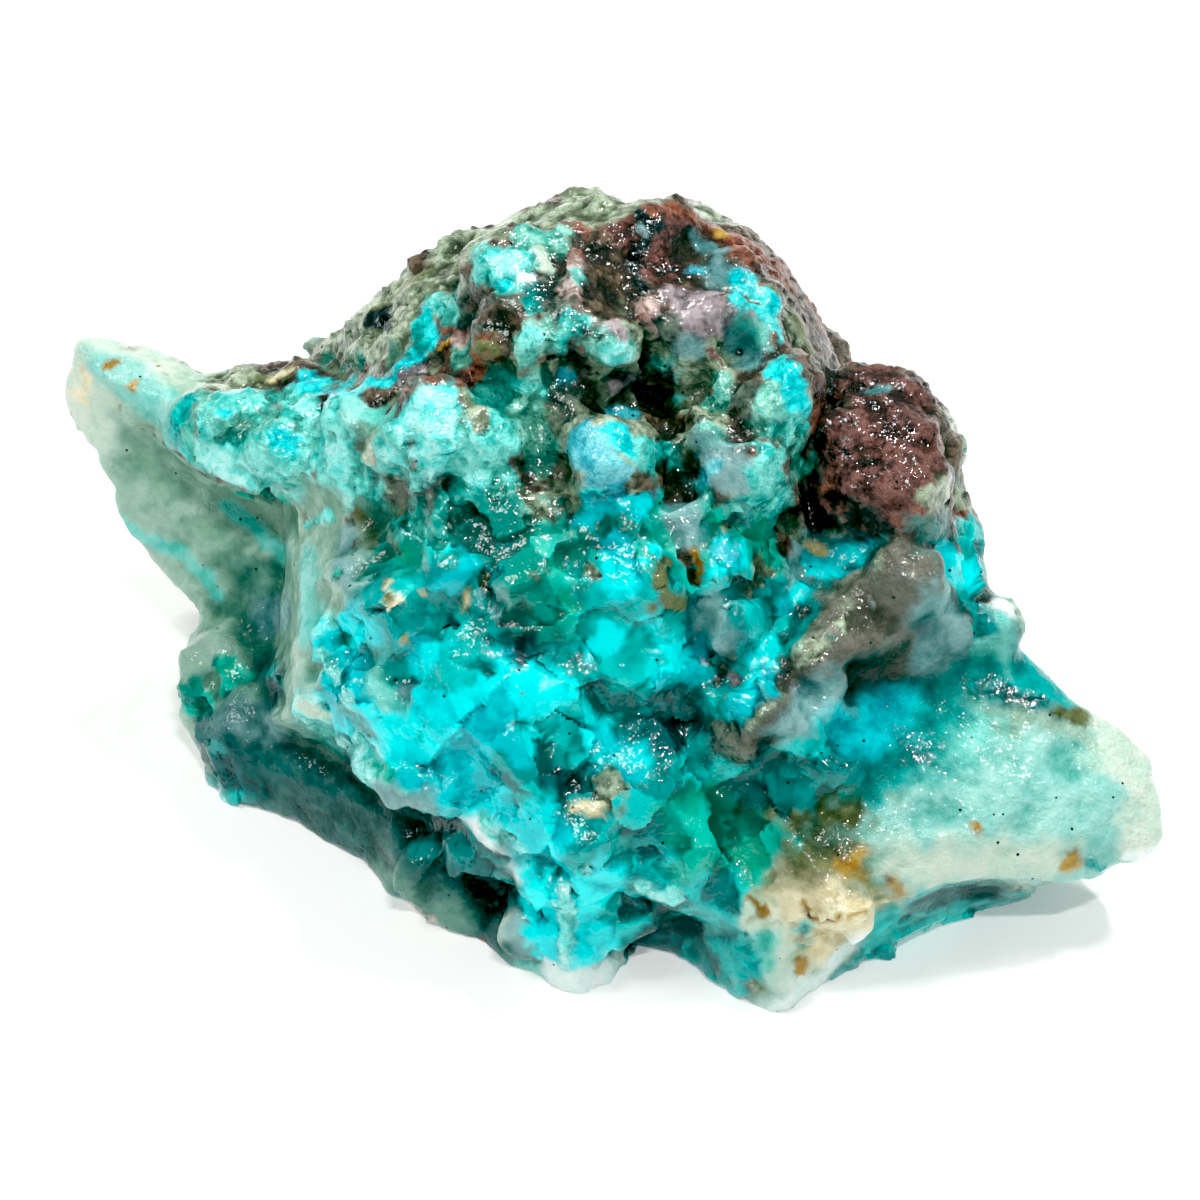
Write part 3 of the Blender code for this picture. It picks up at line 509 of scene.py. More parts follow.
# translucent pillar and the bright block beside it
PILLAR_AND_BLOCK = (
    ("silica", 1.7, (322, 520), (328, 560), (332, 600)),
    ("slate", 0.8, (340, 540), (345, 575)),
    ("aqua", 1.0, (306, 560), (304, 620), (322, 628)),
    ("foam", 0.5, (310, 522), (326, 520)),
    ("jade", 0.4, (325, 575), (340, 575)),
    ("cyan", 0.9, (352, 622), (370, 628)),
    ("cyan", 1.3, (325, 655), (340, 690), (365, 700)),
    ("cyan", 1.2, (350, 665), (375, 715), (400, 750)),
    ("aqua", 0.8, (378, 668), (385, 700)),
    ("foam", 0.4, (322, 655), (332, 675), (345, 700)),
    ("cyan", 1.1, (330, 712), (370, 742), (405, 768)),
    ("foam", 1.1, (303, 712), (338, 740), (378, 768), (412, 794)),
    ("foam", 0.9, (420, 785), (445, 800)),
    ("horn", 0.4, (296, 705), (325, 718)),
    ("deep", 0.45, (400, 678), (440, 690), (472, 712)),
    ("slate", 0.5, (408, 690), (420, 695)),
    ("cyan", 0.9, (425, 658), (448, 662)),
    ("cyan", 0.9, (430, 705), (450, 700)),
    ("cyan", 2.0, (450, 745), (500, 715), (490, 700)),
    ("cyan", 1.5, (510, 680), (545, 690)),
    ("cyan", 1.9, (420, 765), (460, 775), (480, 790)),
    ("cyan", 1.4, (520, 745), (500, 735)),
    ("deep", 0.6, (475, 665), (490, 672)),
    ("deep", 0.4, (455, 620), (460, 638)),
    ("deep", 0.4, (440, 615), (450, 625)),
    ("deep", 0.5, (528, 645), (526, 658)),
    ("deep", 0.5, (495, 775), (515, 790)),
    ("deep", 0.9, (548, 755), (545, 780), (570, 778)),
    ("deep", 0.4, (515, 720), (525, 725)),
    ("deep", 0.7, (585, 650), (588, 690), (575, 740)),
    ("olive", 0.4, (590, 680)),
    ("cyan", 0.8, (600, 650), (606, 640)),
    ("cyan", 1.1, (592, 712), (598, 735)),
    ("deep", 0.9, (602, 690), (612, 700)),
    ("deep", 1.3, (640, 712), (680, 712), (700, 735)),
    ("deep", 0.9, (650, 735), (665, 745), (700, 765)),
    ("cyan", 1.0, (610, 760), (632, 765)),
    ("sage", 0.8, (605, 780), (612, 792)),
    ("cream", 0.4, (582, 807), (602, 812)),
    ("deep", 0.5, (600, 828), (625, 828), (645, 818)),
    ("teal", 1.6, (680, 790), (720, 800)),
    ("jade", 1.9, (690, 830), (730, 822), (765, 835)),
    ("jade", 1.1, (690, 850), (715, 865)),
    ("smoke", 1.2, (733, 738), (738, 745)),
    ("slate", 0.5, (640, 848), (650, 845)),
)

# lower rim and keels
LOWER_RIM = (
    ("cyan", 1.5, (540, 830), (545, 860), (560, 870)),
    ("cyan", 1.2, (500, 815), (525, 835)),
    ("milk", 0.75, (482, 828), (500, 848), (518, 868)),
    ("foam", 0.5, (485, 822), (512, 840), (520, 855)),
    ("foam", 0.6, (556, 892), (572, 890)),
    ("aqua", 0.5, (564, 900), (564, 930), (562, 952)),
    ("teal", 0.8, (546, 915), (550, 940)),
    ("teal", 1.3, (595, 900), (600, 930), (612, 880)),
    ("foam", 0.3, (582, 880), (592, 862), (602, 845)),
    # painted glow at the first keel's tip
    ("milk", 0.9, (572, 988), (590, 978), (600, 975)),
    ("cyan", 1.7, (535, 880), (552, 920), (575, 945), (590, 900)),
    ("cyan", 1.0, (610, 880), (600, 930)),
    ("foam", 0.35, (563, 890), (564, 925), (562, 950)),
    ("aqua", 0.6, (562, 966), (590, 962)),
    ("teal", 1.6, (720, 890), (730, 930), (735, 965)),
    # painted shade in the notch between the keels
    ("abyss", 1.6, (640, 925), (670, 930), (700, 925)),
    ("deep", 1.4, (655, 955), (690, 965), (715, 950)),
    ("deep", 1.0, (700, 895), (690, 910)),
    ("teal", 0.8, (636, 880), (660, 885), (690, 878)),
    ("foam", 0.55, (645, 890), (665, 900), (682, 888)),
)

# lower block under the wing
LOWER_BLOCK = (
    ("aqua", 1.2, (785, 865), (815, 865)),
    ("horn", 1.0, (742, 885), (760, 900)),
    ("horn", 1.2, (770, 880), (790, 885), (770, 920)),
    ("cream", 2.4, (805, 888), (860, 890)),
    ("cream", 1.7, (825, 940), (860, 925), (880, 915)),
    ("aqua", 0.6, (762, 935), (766, 960)),
    ("horn", 0.8, (785, 960), (785, 980)),
    # painted glow at the second keel's tip
    ("milk", 0.9, (770, 1008), (795, 998), (815, 985)),
    ("milk", 0.7, (835, 960), (860, 945)),
    ("olive", 2.8, (800, 828), (862, 826)),
    ("olive", 1.4, (845, 845), (878, 840)),
    ("ochre", 0.7, (845, 862), (888, 848)),
    ("olive", 0.35, (778, 800), (800, 812), (820, 822)),
    ("ochre", 0.8, (872, 878), (890, 885), (905, 895)),
    ("rust", 0.45, (885, 880), (898, 892)),
    ("ochre", 0.25, (805, 905), (815, 918), (850, 918), (885, 905)),
    ("ochre", 0.35, (798, 945), (796, 968)),
    ("iron", 0.18, (805, 912), (810, 916)),
    ("iron", 0.18, (790, 942), (798, 938)),
    ("ochre", 0.2, (740, 888), (762, 905), (767, 914)),
    ("jade", 1.8, (700, 845), (730, 850), (752, 852)),
    ("teal", 1.4, (712, 895), (722, 945), (735, 972)),
)

# wing
WING = (
    ("wing", 4.2, (960, 760), (1020, 770), (1090, 790)),
    ("wing", 3.4, (940, 820), (1020, 830), (1100, 830)),
    ("horn", 2.0, (1120, 745), (1150, 790), (1150, 830)),
    ("silica", 0.9, (985, 716), (1040, 718), (1075, 725)),
    ("tide", 1.3, (930, 685), (965, 668), (1030, 678), (1085, 702)),
    ("deep", 0.5, (980, 690), (1015, 702), (1040, 705)),
    ("olive", 0.4, (1062, 712), (1090, 720)),
    ("aqua", 1.3, (915, 770), (940, 745), (970, 730)),
    ("tide", 1.6, (900, 700), (930, 715), (915, 750)),
    ("pool", 2.1, (850, 722), (870, 740)),
    ("pool", 1.2, (880, 700), (898, 692)),
    ("tide", 1.2, (870, 775), (905, 765)),
    ("deep", 1.8, (790, 770), (830, 775)),
    ("deep", 1.1, (782, 750), (850, 770)),
    ("teal", 0.9, (815, 735), (790, 745)),
    # pale cream-green along the wing's thin lower edge, partly painted glow
    ("horn", 1.2, (950, 862), (1010, 862), (1050, 858)),
    ("horn", 1.1, (905, 862), (930, 868)),
    # painted glow at the wing's thin tip
    ("milk", 0.5, (1130, 862), (1155, 855)),
    ("ochre", 0.22, (1053, 828)),
    ("ochre", 0.3, (980, 826)),
    ("ochre", 0.45, (1068, 866), (1076, 862)),
    ("teal", 0.35, (1092, 864), (1100, 868)),
    # painted shade in the recess under the wing
    ("fen", 1.0, (930, 900), (965, 890), (1000, 888)),
    ("deep", 0.4, (905, 915), (920, 908)),
)

# brown lump and quartz ridge on the right
BROWN_LUMP_AND_RIDGE = (
    ("iron", 3.4, (870, 425), (905, 455), (872, 480)),
    ("iron", 2.2, (835, 505), (865, 525)),
    ("slate", 1.4, (800, 565), (850, 560)),
    ("teal", 1.2, (830, 560), (870, 560)),
    ("iron", 1.6, (850, 392), (890, 382), (925, 400)),
    ("slate", 0.4, (868, 395), (888, 390)),
    ("soot", 0.6, (848, 422), (856, 415)),
    ("matrix", 0.9, (945, 420), (955, 455), (950, 480)),
    ("matrix", 0.8, (838, 480), (845, 500)),
    ("smoke", 0.5, (828, 460), (836, 480)),
    ("sage", 0.8, (925, 500), (950, 492), (965, 500)),
    ("fen", 1.2, (935, 515), (945, 535)),
    ("teal", 1.3, (965, 525), (975, 550)),
    ("cyan", 1.2, (952, 560), (968, 580)),
    ("teal", 1.0, (968, 600), (985, 630)),
    ("sky", 0.6, (868, 545), (890, 532), (912, 520)),
    ("sage", 1.0, (808, 660), (835, 620), (865, 575), (890, 555)),
    ("cyan", 0.9, (815, 572), (840, 562), (855, 560)),
    ("cyan", 0.6, (782, 612), (800, 595)),
    ("cream", 0.4, (805, 548), (820, 552)),
    ("dun", 2.4, (865, 640), (885, 600), (915, 580), (930, 620)),
    ("dun", 1.6, (850, 665), (895, 660)),
    ("slate", 1.2, (935, 600), (945, 620)),
    ("slate", 1.0, (930, 655), (955, 645)),
    ("milk", 0.25, (876, 598)),
    ("dun", 1.0, (758, 735), (790, 705), (820, 668), (845, 650)),
    ("sage", 0.25, (752, 722), (780, 695), (800, 668), (830, 640), (850, 610)),
    ("slate", 0.8, (785, 725), (815, 700), (835, 685)),
    ("aqua", 0.8, (985, 648), (1000, 650)),
    ("milk", 0.7, (1000, 602), (1008, 606)),
    ("aqua", 0.6, (1006, 622)),
)

# hollow left of the pillar, the step and the ledge below, which takes painted shade
HOLLOW_AND_LEDGE = (
    ("moss", 2.4, (255, 640), (250, 680), (262, 690)),
    ("fen", 1.2, (268, 665), (275, 690)),
    ("deep", 0.9, (272, 672), (280, 692)),
    ("slate", 1.0, (262, 625), (285, 615)),
    ("silica", 1.3, (195, 645), (215, 648)),
    ("jade", 0.8, (225, 665), (235, 680)),
    ("jade", 1.1, (190, 690), (205, 712)),
    ("silica", 0.5, (175, 712), (180, 722)),
    ("deep", 0.8, (205, 735), (200, 750)),
    ("fen", 0.6, (235, 710), (245, 722)),
    ("slate", 1.3, (235, 732), (275, 735)),
    ("moss", 1.4, (316, 768), (356, 798), (388, 814)),
    ("silica", 0.9, (300, 758), (340, 783), (365, 806)),
    ("slate", 0.7, (290, 760), (325, 785)),
    ("slate", 0.8, (385, 800), (420, 800)),
    ("jade", 0.5, (380, 762), (388, 772)),
    # painted shade in the strip under the slab's overhanging edge
    ("abyss", 2.4, (225, 765), (280, 785), (350, 815)),
    ("deep", 0.9, (215, 755), (245, 790)),
    ("teal", 0.5, (205, 778), (235, 795)),
    ("foam", 0.35, (208, 788), (225, 796)),
    ("soot", 0.55, (295, 798), (308, 795)),
    ("soot", 0.3, (298, 812)),
    # painted shade on the ledge under the overhang
    ("fen", 3.2, (330, 820), (400, 860), (460, 890), (510, 920)),
    ("deep", 1.4, (440, 832), (490, 865), (515, 885)),
    ("moss", 1.1, (380, 880), (400, 895), (450, 920)),
    ("soot", 0.22, (346, 848), (362, 851)),
    ("blush", 0.25, (398, 902), (430, 918)),
    ("rust", 0.2, (460, 935), (480, 938)),
    ("horn", 0.9, (500, 925)),
    ("slate", 1.0, (515, 925), (530, 940)),
    ("aqua", 0.5, (520, 962), (545, 975)),
)

# front keel, with a teal side of painted shade toward the notch and a white tip of painted glow
FRONT_KEEL = (
    ("cyan", 1.2, (535, 895), (543, 930), (552, 950)),
    ("cyan", 1.3, (595, 890), (602, 925), (592, 950)),
    ("teal", 0.9, (622, 890), (622, 925)),
    ("foam", 0.5, (563, 890), (565, 925), (563, 955)),
    ("milk", 1.0, (560, 978), (585, 984), (600, 974)),
)

# broad minerals under the strokes of the seen side
UNDERPAINTING = (
    ("tide", 8.0, (-8, -10, 8), (0, -14, 6), (8, -14, 6), (14, -8, 8)),
    ("silica", 6.0, (-20, -2, 10), (-15, -6, 10)),
    ("matrix", 3.0, (770, 262), (810, 300), (838, 350)),
    ("rust", 1.5, (740, 240), (790, 275)),
)

# sides that the picture doesn't show
HIDDEN_SIDES = (
    ("matrix", 7.0, (2, 14, 14), (-6, 14, 16)),
    ("iron", 3.0, (10, 8, 18), (6, 12, 12)),
    ("rust", 2.0, (4, 8, 21), (8, 9, 16)),
    ("silica", 4.5, (-18, 10, 8), (-12, 14, 6)),
    ("horn", 2.5, (-26, 8, 13), (-22, 10, 12)),
    ("teal", 3.5, (-2, 20, 5), (6, 20, 4), (12, 16, 5)),
    ("cyan", 1.6, (0, 20, 7), (5, 19, 6)),
    ("crust", 2.2, (-9, 14, 15), (-5, 16, 13)),
    ("wing", 3.5, (24, -6, 6), (26, -9, 5)),
    ("teal", 2.2, (20, -2, 6), (21, 0, 9)),
    ("sage", 2.0, (-3, 13, 21), (-8, 11, 19)),
    ("olive", 1.5, (-14, 12, 12), (-16, 12, 10)),
    ("soot", 0.9, (3, 17, 14), (4, 17, 13)),
    ("ochre", 1.2, (12, 12, 10), (14, 10, 8)),
)


class Stroke(NamedTuple):
    """One brush stroke: its mineral, half its width in millimetres and the marks it runs through."""

    mineral: str
    half_mm: float
    marks: tuple[tuple[float, ...], ...]

    def habit(self) -> Habit:
        """Habit of the stroke's mineral."""
        return MINERALS[self.mineral].habit


def strokes_of(regions: Iterable[tuple]) -> list[Stroke]:
    """Strokes of several regions, in their order."""
    rows = itertools.chain.from_iterable(regions)
    return [Stroke(mineral, half_mm, tuple(marks)) for mineral, half_mm, *marks in rows]


SEEN_STROKES = strokes_of(
    (
        LEFT_HORN,
        SADDLE_CRUST,
        SADDLE,
        DOME_LEFT_FLANK,
        DOME_CRYSTALS,
        MIDDLE_CRUST,
        MAIN_FACE,
        PILLAR_AND_BLOCK,
        LOWER_RIM,
        LOWER_BLOCK,
        WING,
        BROWN_LUMP_AND_RIDGE,
        HOLLOW_AND_LEDGE,
        FRONT_KEEL,
    )
)
HIDDEN_STROKES = strokes_of((UNDERPAINTING, HIDDEN_SIDES))


class Fill(NamedTuple):
    """A broad mass that rounds a lump out: its pixel, its radius and the share of it that is sunk."""

    px: float
    py: float
    radius_mm: float
    sunk: float


BROWN_LUMP_FILLS = (
    Fill(898, 425, 3.5, 0.88),
    Fill(886, 472, 3.6, 0.88),
    Fill(908, 462, 3.2, 0.88),
    Fill(864, 440, 3.0, 0.88),
    Fill(852, 495, 2.6, 0.5),
    Fill(845, 478, 2.4, 0.3),
    Fill(836, 508, 2.0, 0.35),
    Fill(834, 455, 2.0, 0.35),
    Fill(852, 520, 1.8, 0.4),
)


@dataclass(frozen=True)
class ShardField:
    """The part of the main face that is strewn with shards, in pixels."""

    columns: tuple[float, float] = (320, 800)
    rows: tuple[float, float] = (490, 890)
    outline: tuple[tuple[float, float], ...] = (
        (410, 520), (700, 500), (790, 640), (760, 840), (600, 880), (480, 800), (410, 690)
    )

    def holds(self, px: float, py: float) -> bool:
        """Whether a pixel lies inside the outline.

        Args:
            px: The pixel's column.
            py: The pixel's row.

        Returns:
            True where a line from the pixel crosses the outline an odd number of times.
        """
        within = False
        for (ax, ay), (bx, by) in zip(self.outline, self.outline[1:] + self.outline[:1]):
            if (ay > py) != (by > py) and px < ax + (bx - ax) * (py - ay) / (by - ay):
                within = not within
        return within


@dataclass(frozen=True)
class Sight:
    """The picture's view of the stone, in millimetres of the stone's frame."""

    elevation: float = math.radians(42)
    distance: float = 220.0
    target: tuple[float, float, float] = (0.110, -3.134, 10.35)
    pixels_per_mm: float = 18.4
    middle_px: float = 600.0

    def forward(self) -> Vector:
        """Direction that the camera looks in."""
        return Vector((0, math.cos(self.elevation), -math.sin(self.elevation)))

    def upward(self) -> Vector:
        """Direction that is up in the picture."""
        return Vector((0, math.sin(self.elevation), math.cos(self.elevation)))

    def eye(self) -> Vector:
        """Place of the camera."""
        return Vector(self.target) - self.forward() * self.distance

    def line(self, px: float, py: float) -> Vector:
        """Direction of the sight line through a pixel.

        Args:
            px: The pixel's column.
            py: The pixel's row.

        Returns:
            A unit vector.
        """
        across = Vector((px - self.middle_px, 0, 0))
        along = self.forward() * self.distance * self.pixels_per_mm
        return (along + across + self.upward() * (self.middle_px - py)).normalized()


SIGHT = Sight()


class Ground:
    """A surface that places are found on, in millimetres."""

    def __init__(self, piece: bpy.types.Object) -> None:
        """Takes the surface of a piece.

        Args:
            piece: A mesh object in metres, at the origin.
        """
        mesh = piece.data
        corners = [vertex.co / MM for vertex in mesh.vertices]
        self.tree = BVHTree.FromPolygons(corners, [list(face.vertices) for face in mesh.polygons])

    def landed(self, px: float, py: float) -> Hit | None:
        """Where the sight line through a pixel meets the surface.

        Args:
            px: The pixel's column.
            py: The pixel's row.

        Returns:
            The point and its outward normal, or None off the surface.
        """
        point, normal, _, _ = self.tree.ray_cast(SIGHT.eye(), SIGHT.line(px, py))
        return (point, normal) if point else None

    def nearest(self, place: Sequence[float]) -> Hit:
        """The surface's point nearest to a place, with its outward normal."""
        point, normal, _, _ = self.tree.find_nearest(Vector(place))
        return point, normal

    def placed(self, mark: Sequence[float]) -> Hit | None:
        """Point and normal of a pixel, of two numbers, or of a place in millimetres, of three."""
        return self.landed(*mark) if len(mark) == 2 else self.nearest(mark)


def scatter(cell: np.ndarray, seed: int) -> np.ndarray:
    """Three even random numbers from 0 to 1 for each grid cell.

    Args:
        cell: Whole numbers, one row of three for each cell.
        seed: Number that sets the draw.

    Returns:
        Numbers of the same shape.
    """
    mixed = cell.astype(np.uint64) * np.array([73856093, 19349663, 83492791], np.uint64)
    key = mixed[:, 0] ^ mixed[:, 1] ^ mixed[:, 2] ^ np.uint64(seed * 2654435761)
    drawn = np.empty(cell.shape)
    for axis in range(3):
        for factor in (0xFF51AFD7ED558CCD, 0xC4CEB9FE1A85EC53):
            key = (key ^ (key >> np.uint64(33))) * np.uint64(factor)
        drawn[:, axis] = (key >> np.uint64(40)).astype(float) / 2**24
    return drawn


@dataclass(frozen=True)
class Cells:
    """Random cells in space, which nodules and broken blocks are shaped from."""

    size_mm: float
    seed: int
    steps: int = 4096

    def at(self, points: np.ndarray) -> tuple[np.ndarray, np.ndarray, np.ndarray, np.ndarray]:
        """The cell around each point.

        Args:
            points: Places in millimetres.

        Returns:
            Distance to the nearest and to the second cell middle, both as shares of the size,
            the offset from the middle, and three random numbers of the cell.
        """
        spot = points / self.size_mm
        home = np.floor(spot).astype(np.int64)
        first = np.full(len(spot), np.inf)
        second = first.copy()
        offset = np.zeros_like(spot)
        middle = np.zeros_like(home)
        for shift in itertools.product((-1, 0, 1), repeat=3):
            cell = home + shift
            away = spot - cell - scatter(cell, self.seed)
            gap = np.sqrt((away * away).sum(axis=1))
            closer = gap < first
            second = np.where(closer, first, np.minimum(second, gap))
            first = np.where(closer, gap, first)
            offset[closer] = away[closer]
            middle[closer] = cell[closer]
        return first, second, offset, scatter(middle, self.seed + 1)

    def keys(self, points: np.ndarray) -> np.ndarray:
        """Three whole numbers for each point, the same all over its cell."""
        _, _, _, drawn = self.at(points)
        return np.floor(drawn * self.steps).astype(np.int64)

    def lots(self, points: np.ndarray, count: int) -> list[np.ndarray]:
        """Random numbers from 0 to 1 that are the same all over a cell.

        Args:
            points: Places in millimetres.
            count: How many numbers each cell draws.

        Returns:
            For each draw, a number for each point.
        """
        keys = self.keys(points)
        return [scatter(keys, self.seed + 7 + draw)[:, 0] for draw in range(count)]

    def numbered(self, points: np.ndarray) -> np.ndarray:
        """A number for each point's cell, counted from 0."""
        rows = self.keys(points) @ np.array([1, self.steps, self.steps**2])
        return np.unique(rows, return_inverse=True)[1]

    def nodules(self, points: np.ndarray) -> np.ndarray:
        """Height of round nodules that fill the cells.

        Args:
            points: Places in millimetres.

        Returns:
            Heights from 0 in the seams to 1.
        """
        first, second, _, _ = self.at(points)
        share = first / np.maximum(first + second, TINY) * 2
        return np.sqrt(np.maximum(0, 1 - share * share))

    def blocks(self, points: np.ndarray) -> np.ndarray:
        """Height of flat tilted faces, one a cell, about from -1 to 1."""
        _, _, offset, drawn = self.at(points)
        return (offset * (drawn - 0.5) * 4).sum(axis=1) + (drawn[:, 0] - 0.5)


def waves(points: np.ndarray, size: float, seed: int, octaves: int = 3) -> np.ndarray:
    """Smooth random heights, about from -1 to 1.

    Args:
        points: Places in millimetres.
        size: Length of the longest waves in millimetres.
        seed: Number that sets the draw.
        octaves: How many finer waves are added, each half as long and half as high.

    Returns:
        A height for each place.
    """
    total = np.zeros(len(points))
    strength = 0.5
    for octave in range(octaves):
        spot = points / size * 2**octave
        home = np.floor(spot).astype(np.int64)
        part = spot - home
        part = part * part * (3 - 2 * part)
        level = np.zeros(len(points))
        for shift in itertools.product((0, 1), repeat=3):
            share = np.prod(np.where(np.array(shift) == 1, part, 1 - part), axis=1)
            level += share * scatter(home + shift, seed + octave)[:, 0]
        total += (level * 2 - 1) * strength * 2
        strength /= 2
    return total


def wobbled(
    points: np.ndarray, size: float, seeds: Sequence[int], octaves: int, reach: float
) -> np.ndarray:
    """Places shifted by waves, so that what is drawn at them loses its even edge.

    Args:
        points: Places in millimetres.
        size: Length of the longest waves in millimetres.
        seeds: One number for each axis, which sets its draw.
        octaves: How many finer waves are added.
        reach: Greatest shift along an axis, in millimetres.

    Returns:
        The shifted places.
    """
    return points + np.stack([waves(points, size, seed, octaves) for seed in seeds], axis=1) * reach


def smoothstep(low: float, high: float, value: np.ndarray) -> np.ndarray:
    """Share of the way from low to high, eased at both ends."""
    share = np.clip((value - low) / (high - low), 0, 1)
    return share * share * (3 - 2 * share)


def unit_rows(rows: np.ndarray) -> np.ndarray:
    """Each row of three numbers, made one long."""
    return rows / np.maximum(np.linalg.norm(rows, axis=1), TINY)[:, None]


def habit_share(share: Shares, habit: Habit) -> np.ndarray:
    """Share at each vertex of the minerals with one habit."""
    return sum(shares for name, shares in share.items() if MINERALS[name].habit is habit)


def chipped(
    points: np.ndarray, normals: np.ndarray, press: np.ndarray, chips: Cells, most: float
) -> np.ndarray:
    """Presses each chip of a skin towards its own plane, so that it has flat, crisp facets.

    Args:
        points: The skin's places in millimetres.
        normals: Their outward normals.
        press: For each place the share of the way that it goes to the plane.
        chips: The cells that the chips fill.
        most: Furthest that a place moves, in millimetres.

    Returns:
        The pressed places.
    """
    chip = chips.numbered(points)
    count = np.bincount(chip)[:, None]
    middle = np.stack([np.bincount(chip, points[:, axis]) for axis in range(3)], axis=1) / count
    facing = unit_rows(np.stack([np.bincount(chip, normals[:, axis]) for axis in range(3)], axis=1))
    away = ((points - middle[chip]) * facing[chip]).sum(axis=1)
    return points - facing[chip] * (np.clip(away, -most, most) * press)[:, None]


def vertex_rows(piece: bpy.types.Object, quality: str) -> np.ndarray:
    """Three numbers for each vertex of a piece.

    Args:
        piece: The piece.
        quality: What is read, such as co or normal.

    Returns:
        One row for each vertex.
    """
    flat = np.empty(len(piece.data.vertices) * 3)
    piece.data.vertices.foreach_get(quality, flat)
    return flat.reshape(-1, 3)


def points_of(piece: bpy.types.Object) -> np.ndarray:
    """Places of a piece's vertices, in millimetres."""
    return vertex_rows(piece, "co") / MM


def normals_of(piece: bpy.types.Object) -> np.ndarray:
    """Outward normals of a piece's vertices."""
    return vertex_rows(piece, "normal")


def reshape_piece(piece: bpy.types.Object, points: np.ndarray) -> None:
    """Moves a piece's vertices to places in millimetres."""
    piece.data.vertices.foreach_set("co", (points * MM).ravel())
    piece.data.update()


def select_only(piece: bpy.types.Object) -> None:
    """Selects one piece and makes it the active one.

    Args:
        piece: The piece.
    """
    bpy.ops.object.select_all(action="DESELECT")
    piece.hide_viewport = False
    piece.select_set(True)
    bpy.context.view_layer.objects.active = piece


def apply_modifier(piece: bpy.types.Object, kind: str, **settings: object) -> None:
    """Adds a modifier to a piece, sets it and applies it.

    Args:
        piece: The piece.
        kind: The modifier's type.
        **settings: Its properties.
    """
    select_only(piece)
    modifier = piece.modifiers.new(kind.title(), kind)
    for name, value in settings.items():
        setattr(modifier, name, value)
    bpy.ops.object.modifier_apply(modifier=modifier.name)


@dataclass(frozen=True)
class Border:
    """How one mineral gives way to the next."""

    fade: float
    least_luck: float
    luck_range: float
    sharpness: float


SOFT_BORDER = Border(0.75, 0.7, 0.6, 1.3)
GRAINED_BORDER = Border(0.35, 0.35, 1.3, 2.2)


@dataclass(frozen=True)
class Patches:
    """Random patches of a mineral: how wide they are, and from where to where noise brings them."""

    mineral: str
    size_mm: float
    seed: int
    low: float
    high: float

    def cover(self, points: np.ndarray) -> np.ndarray:
        """Share from 0 to 1 that the patches take at each point."""
        return smoothstep(self.low, self.high, waves(points, self.size_mm, self.seed))


LOW_PATCHES = (Patches("silica", 9.0, 31, 0.0, 0.35), Patches("teal", 7.0, 37, 0.0, 0.3))
HIGH_PATCHES = (Patches("sage", 5.0, 41, 0.0, 0.3), Patches("rust", 4.0, 43, 0.15, 0.35))


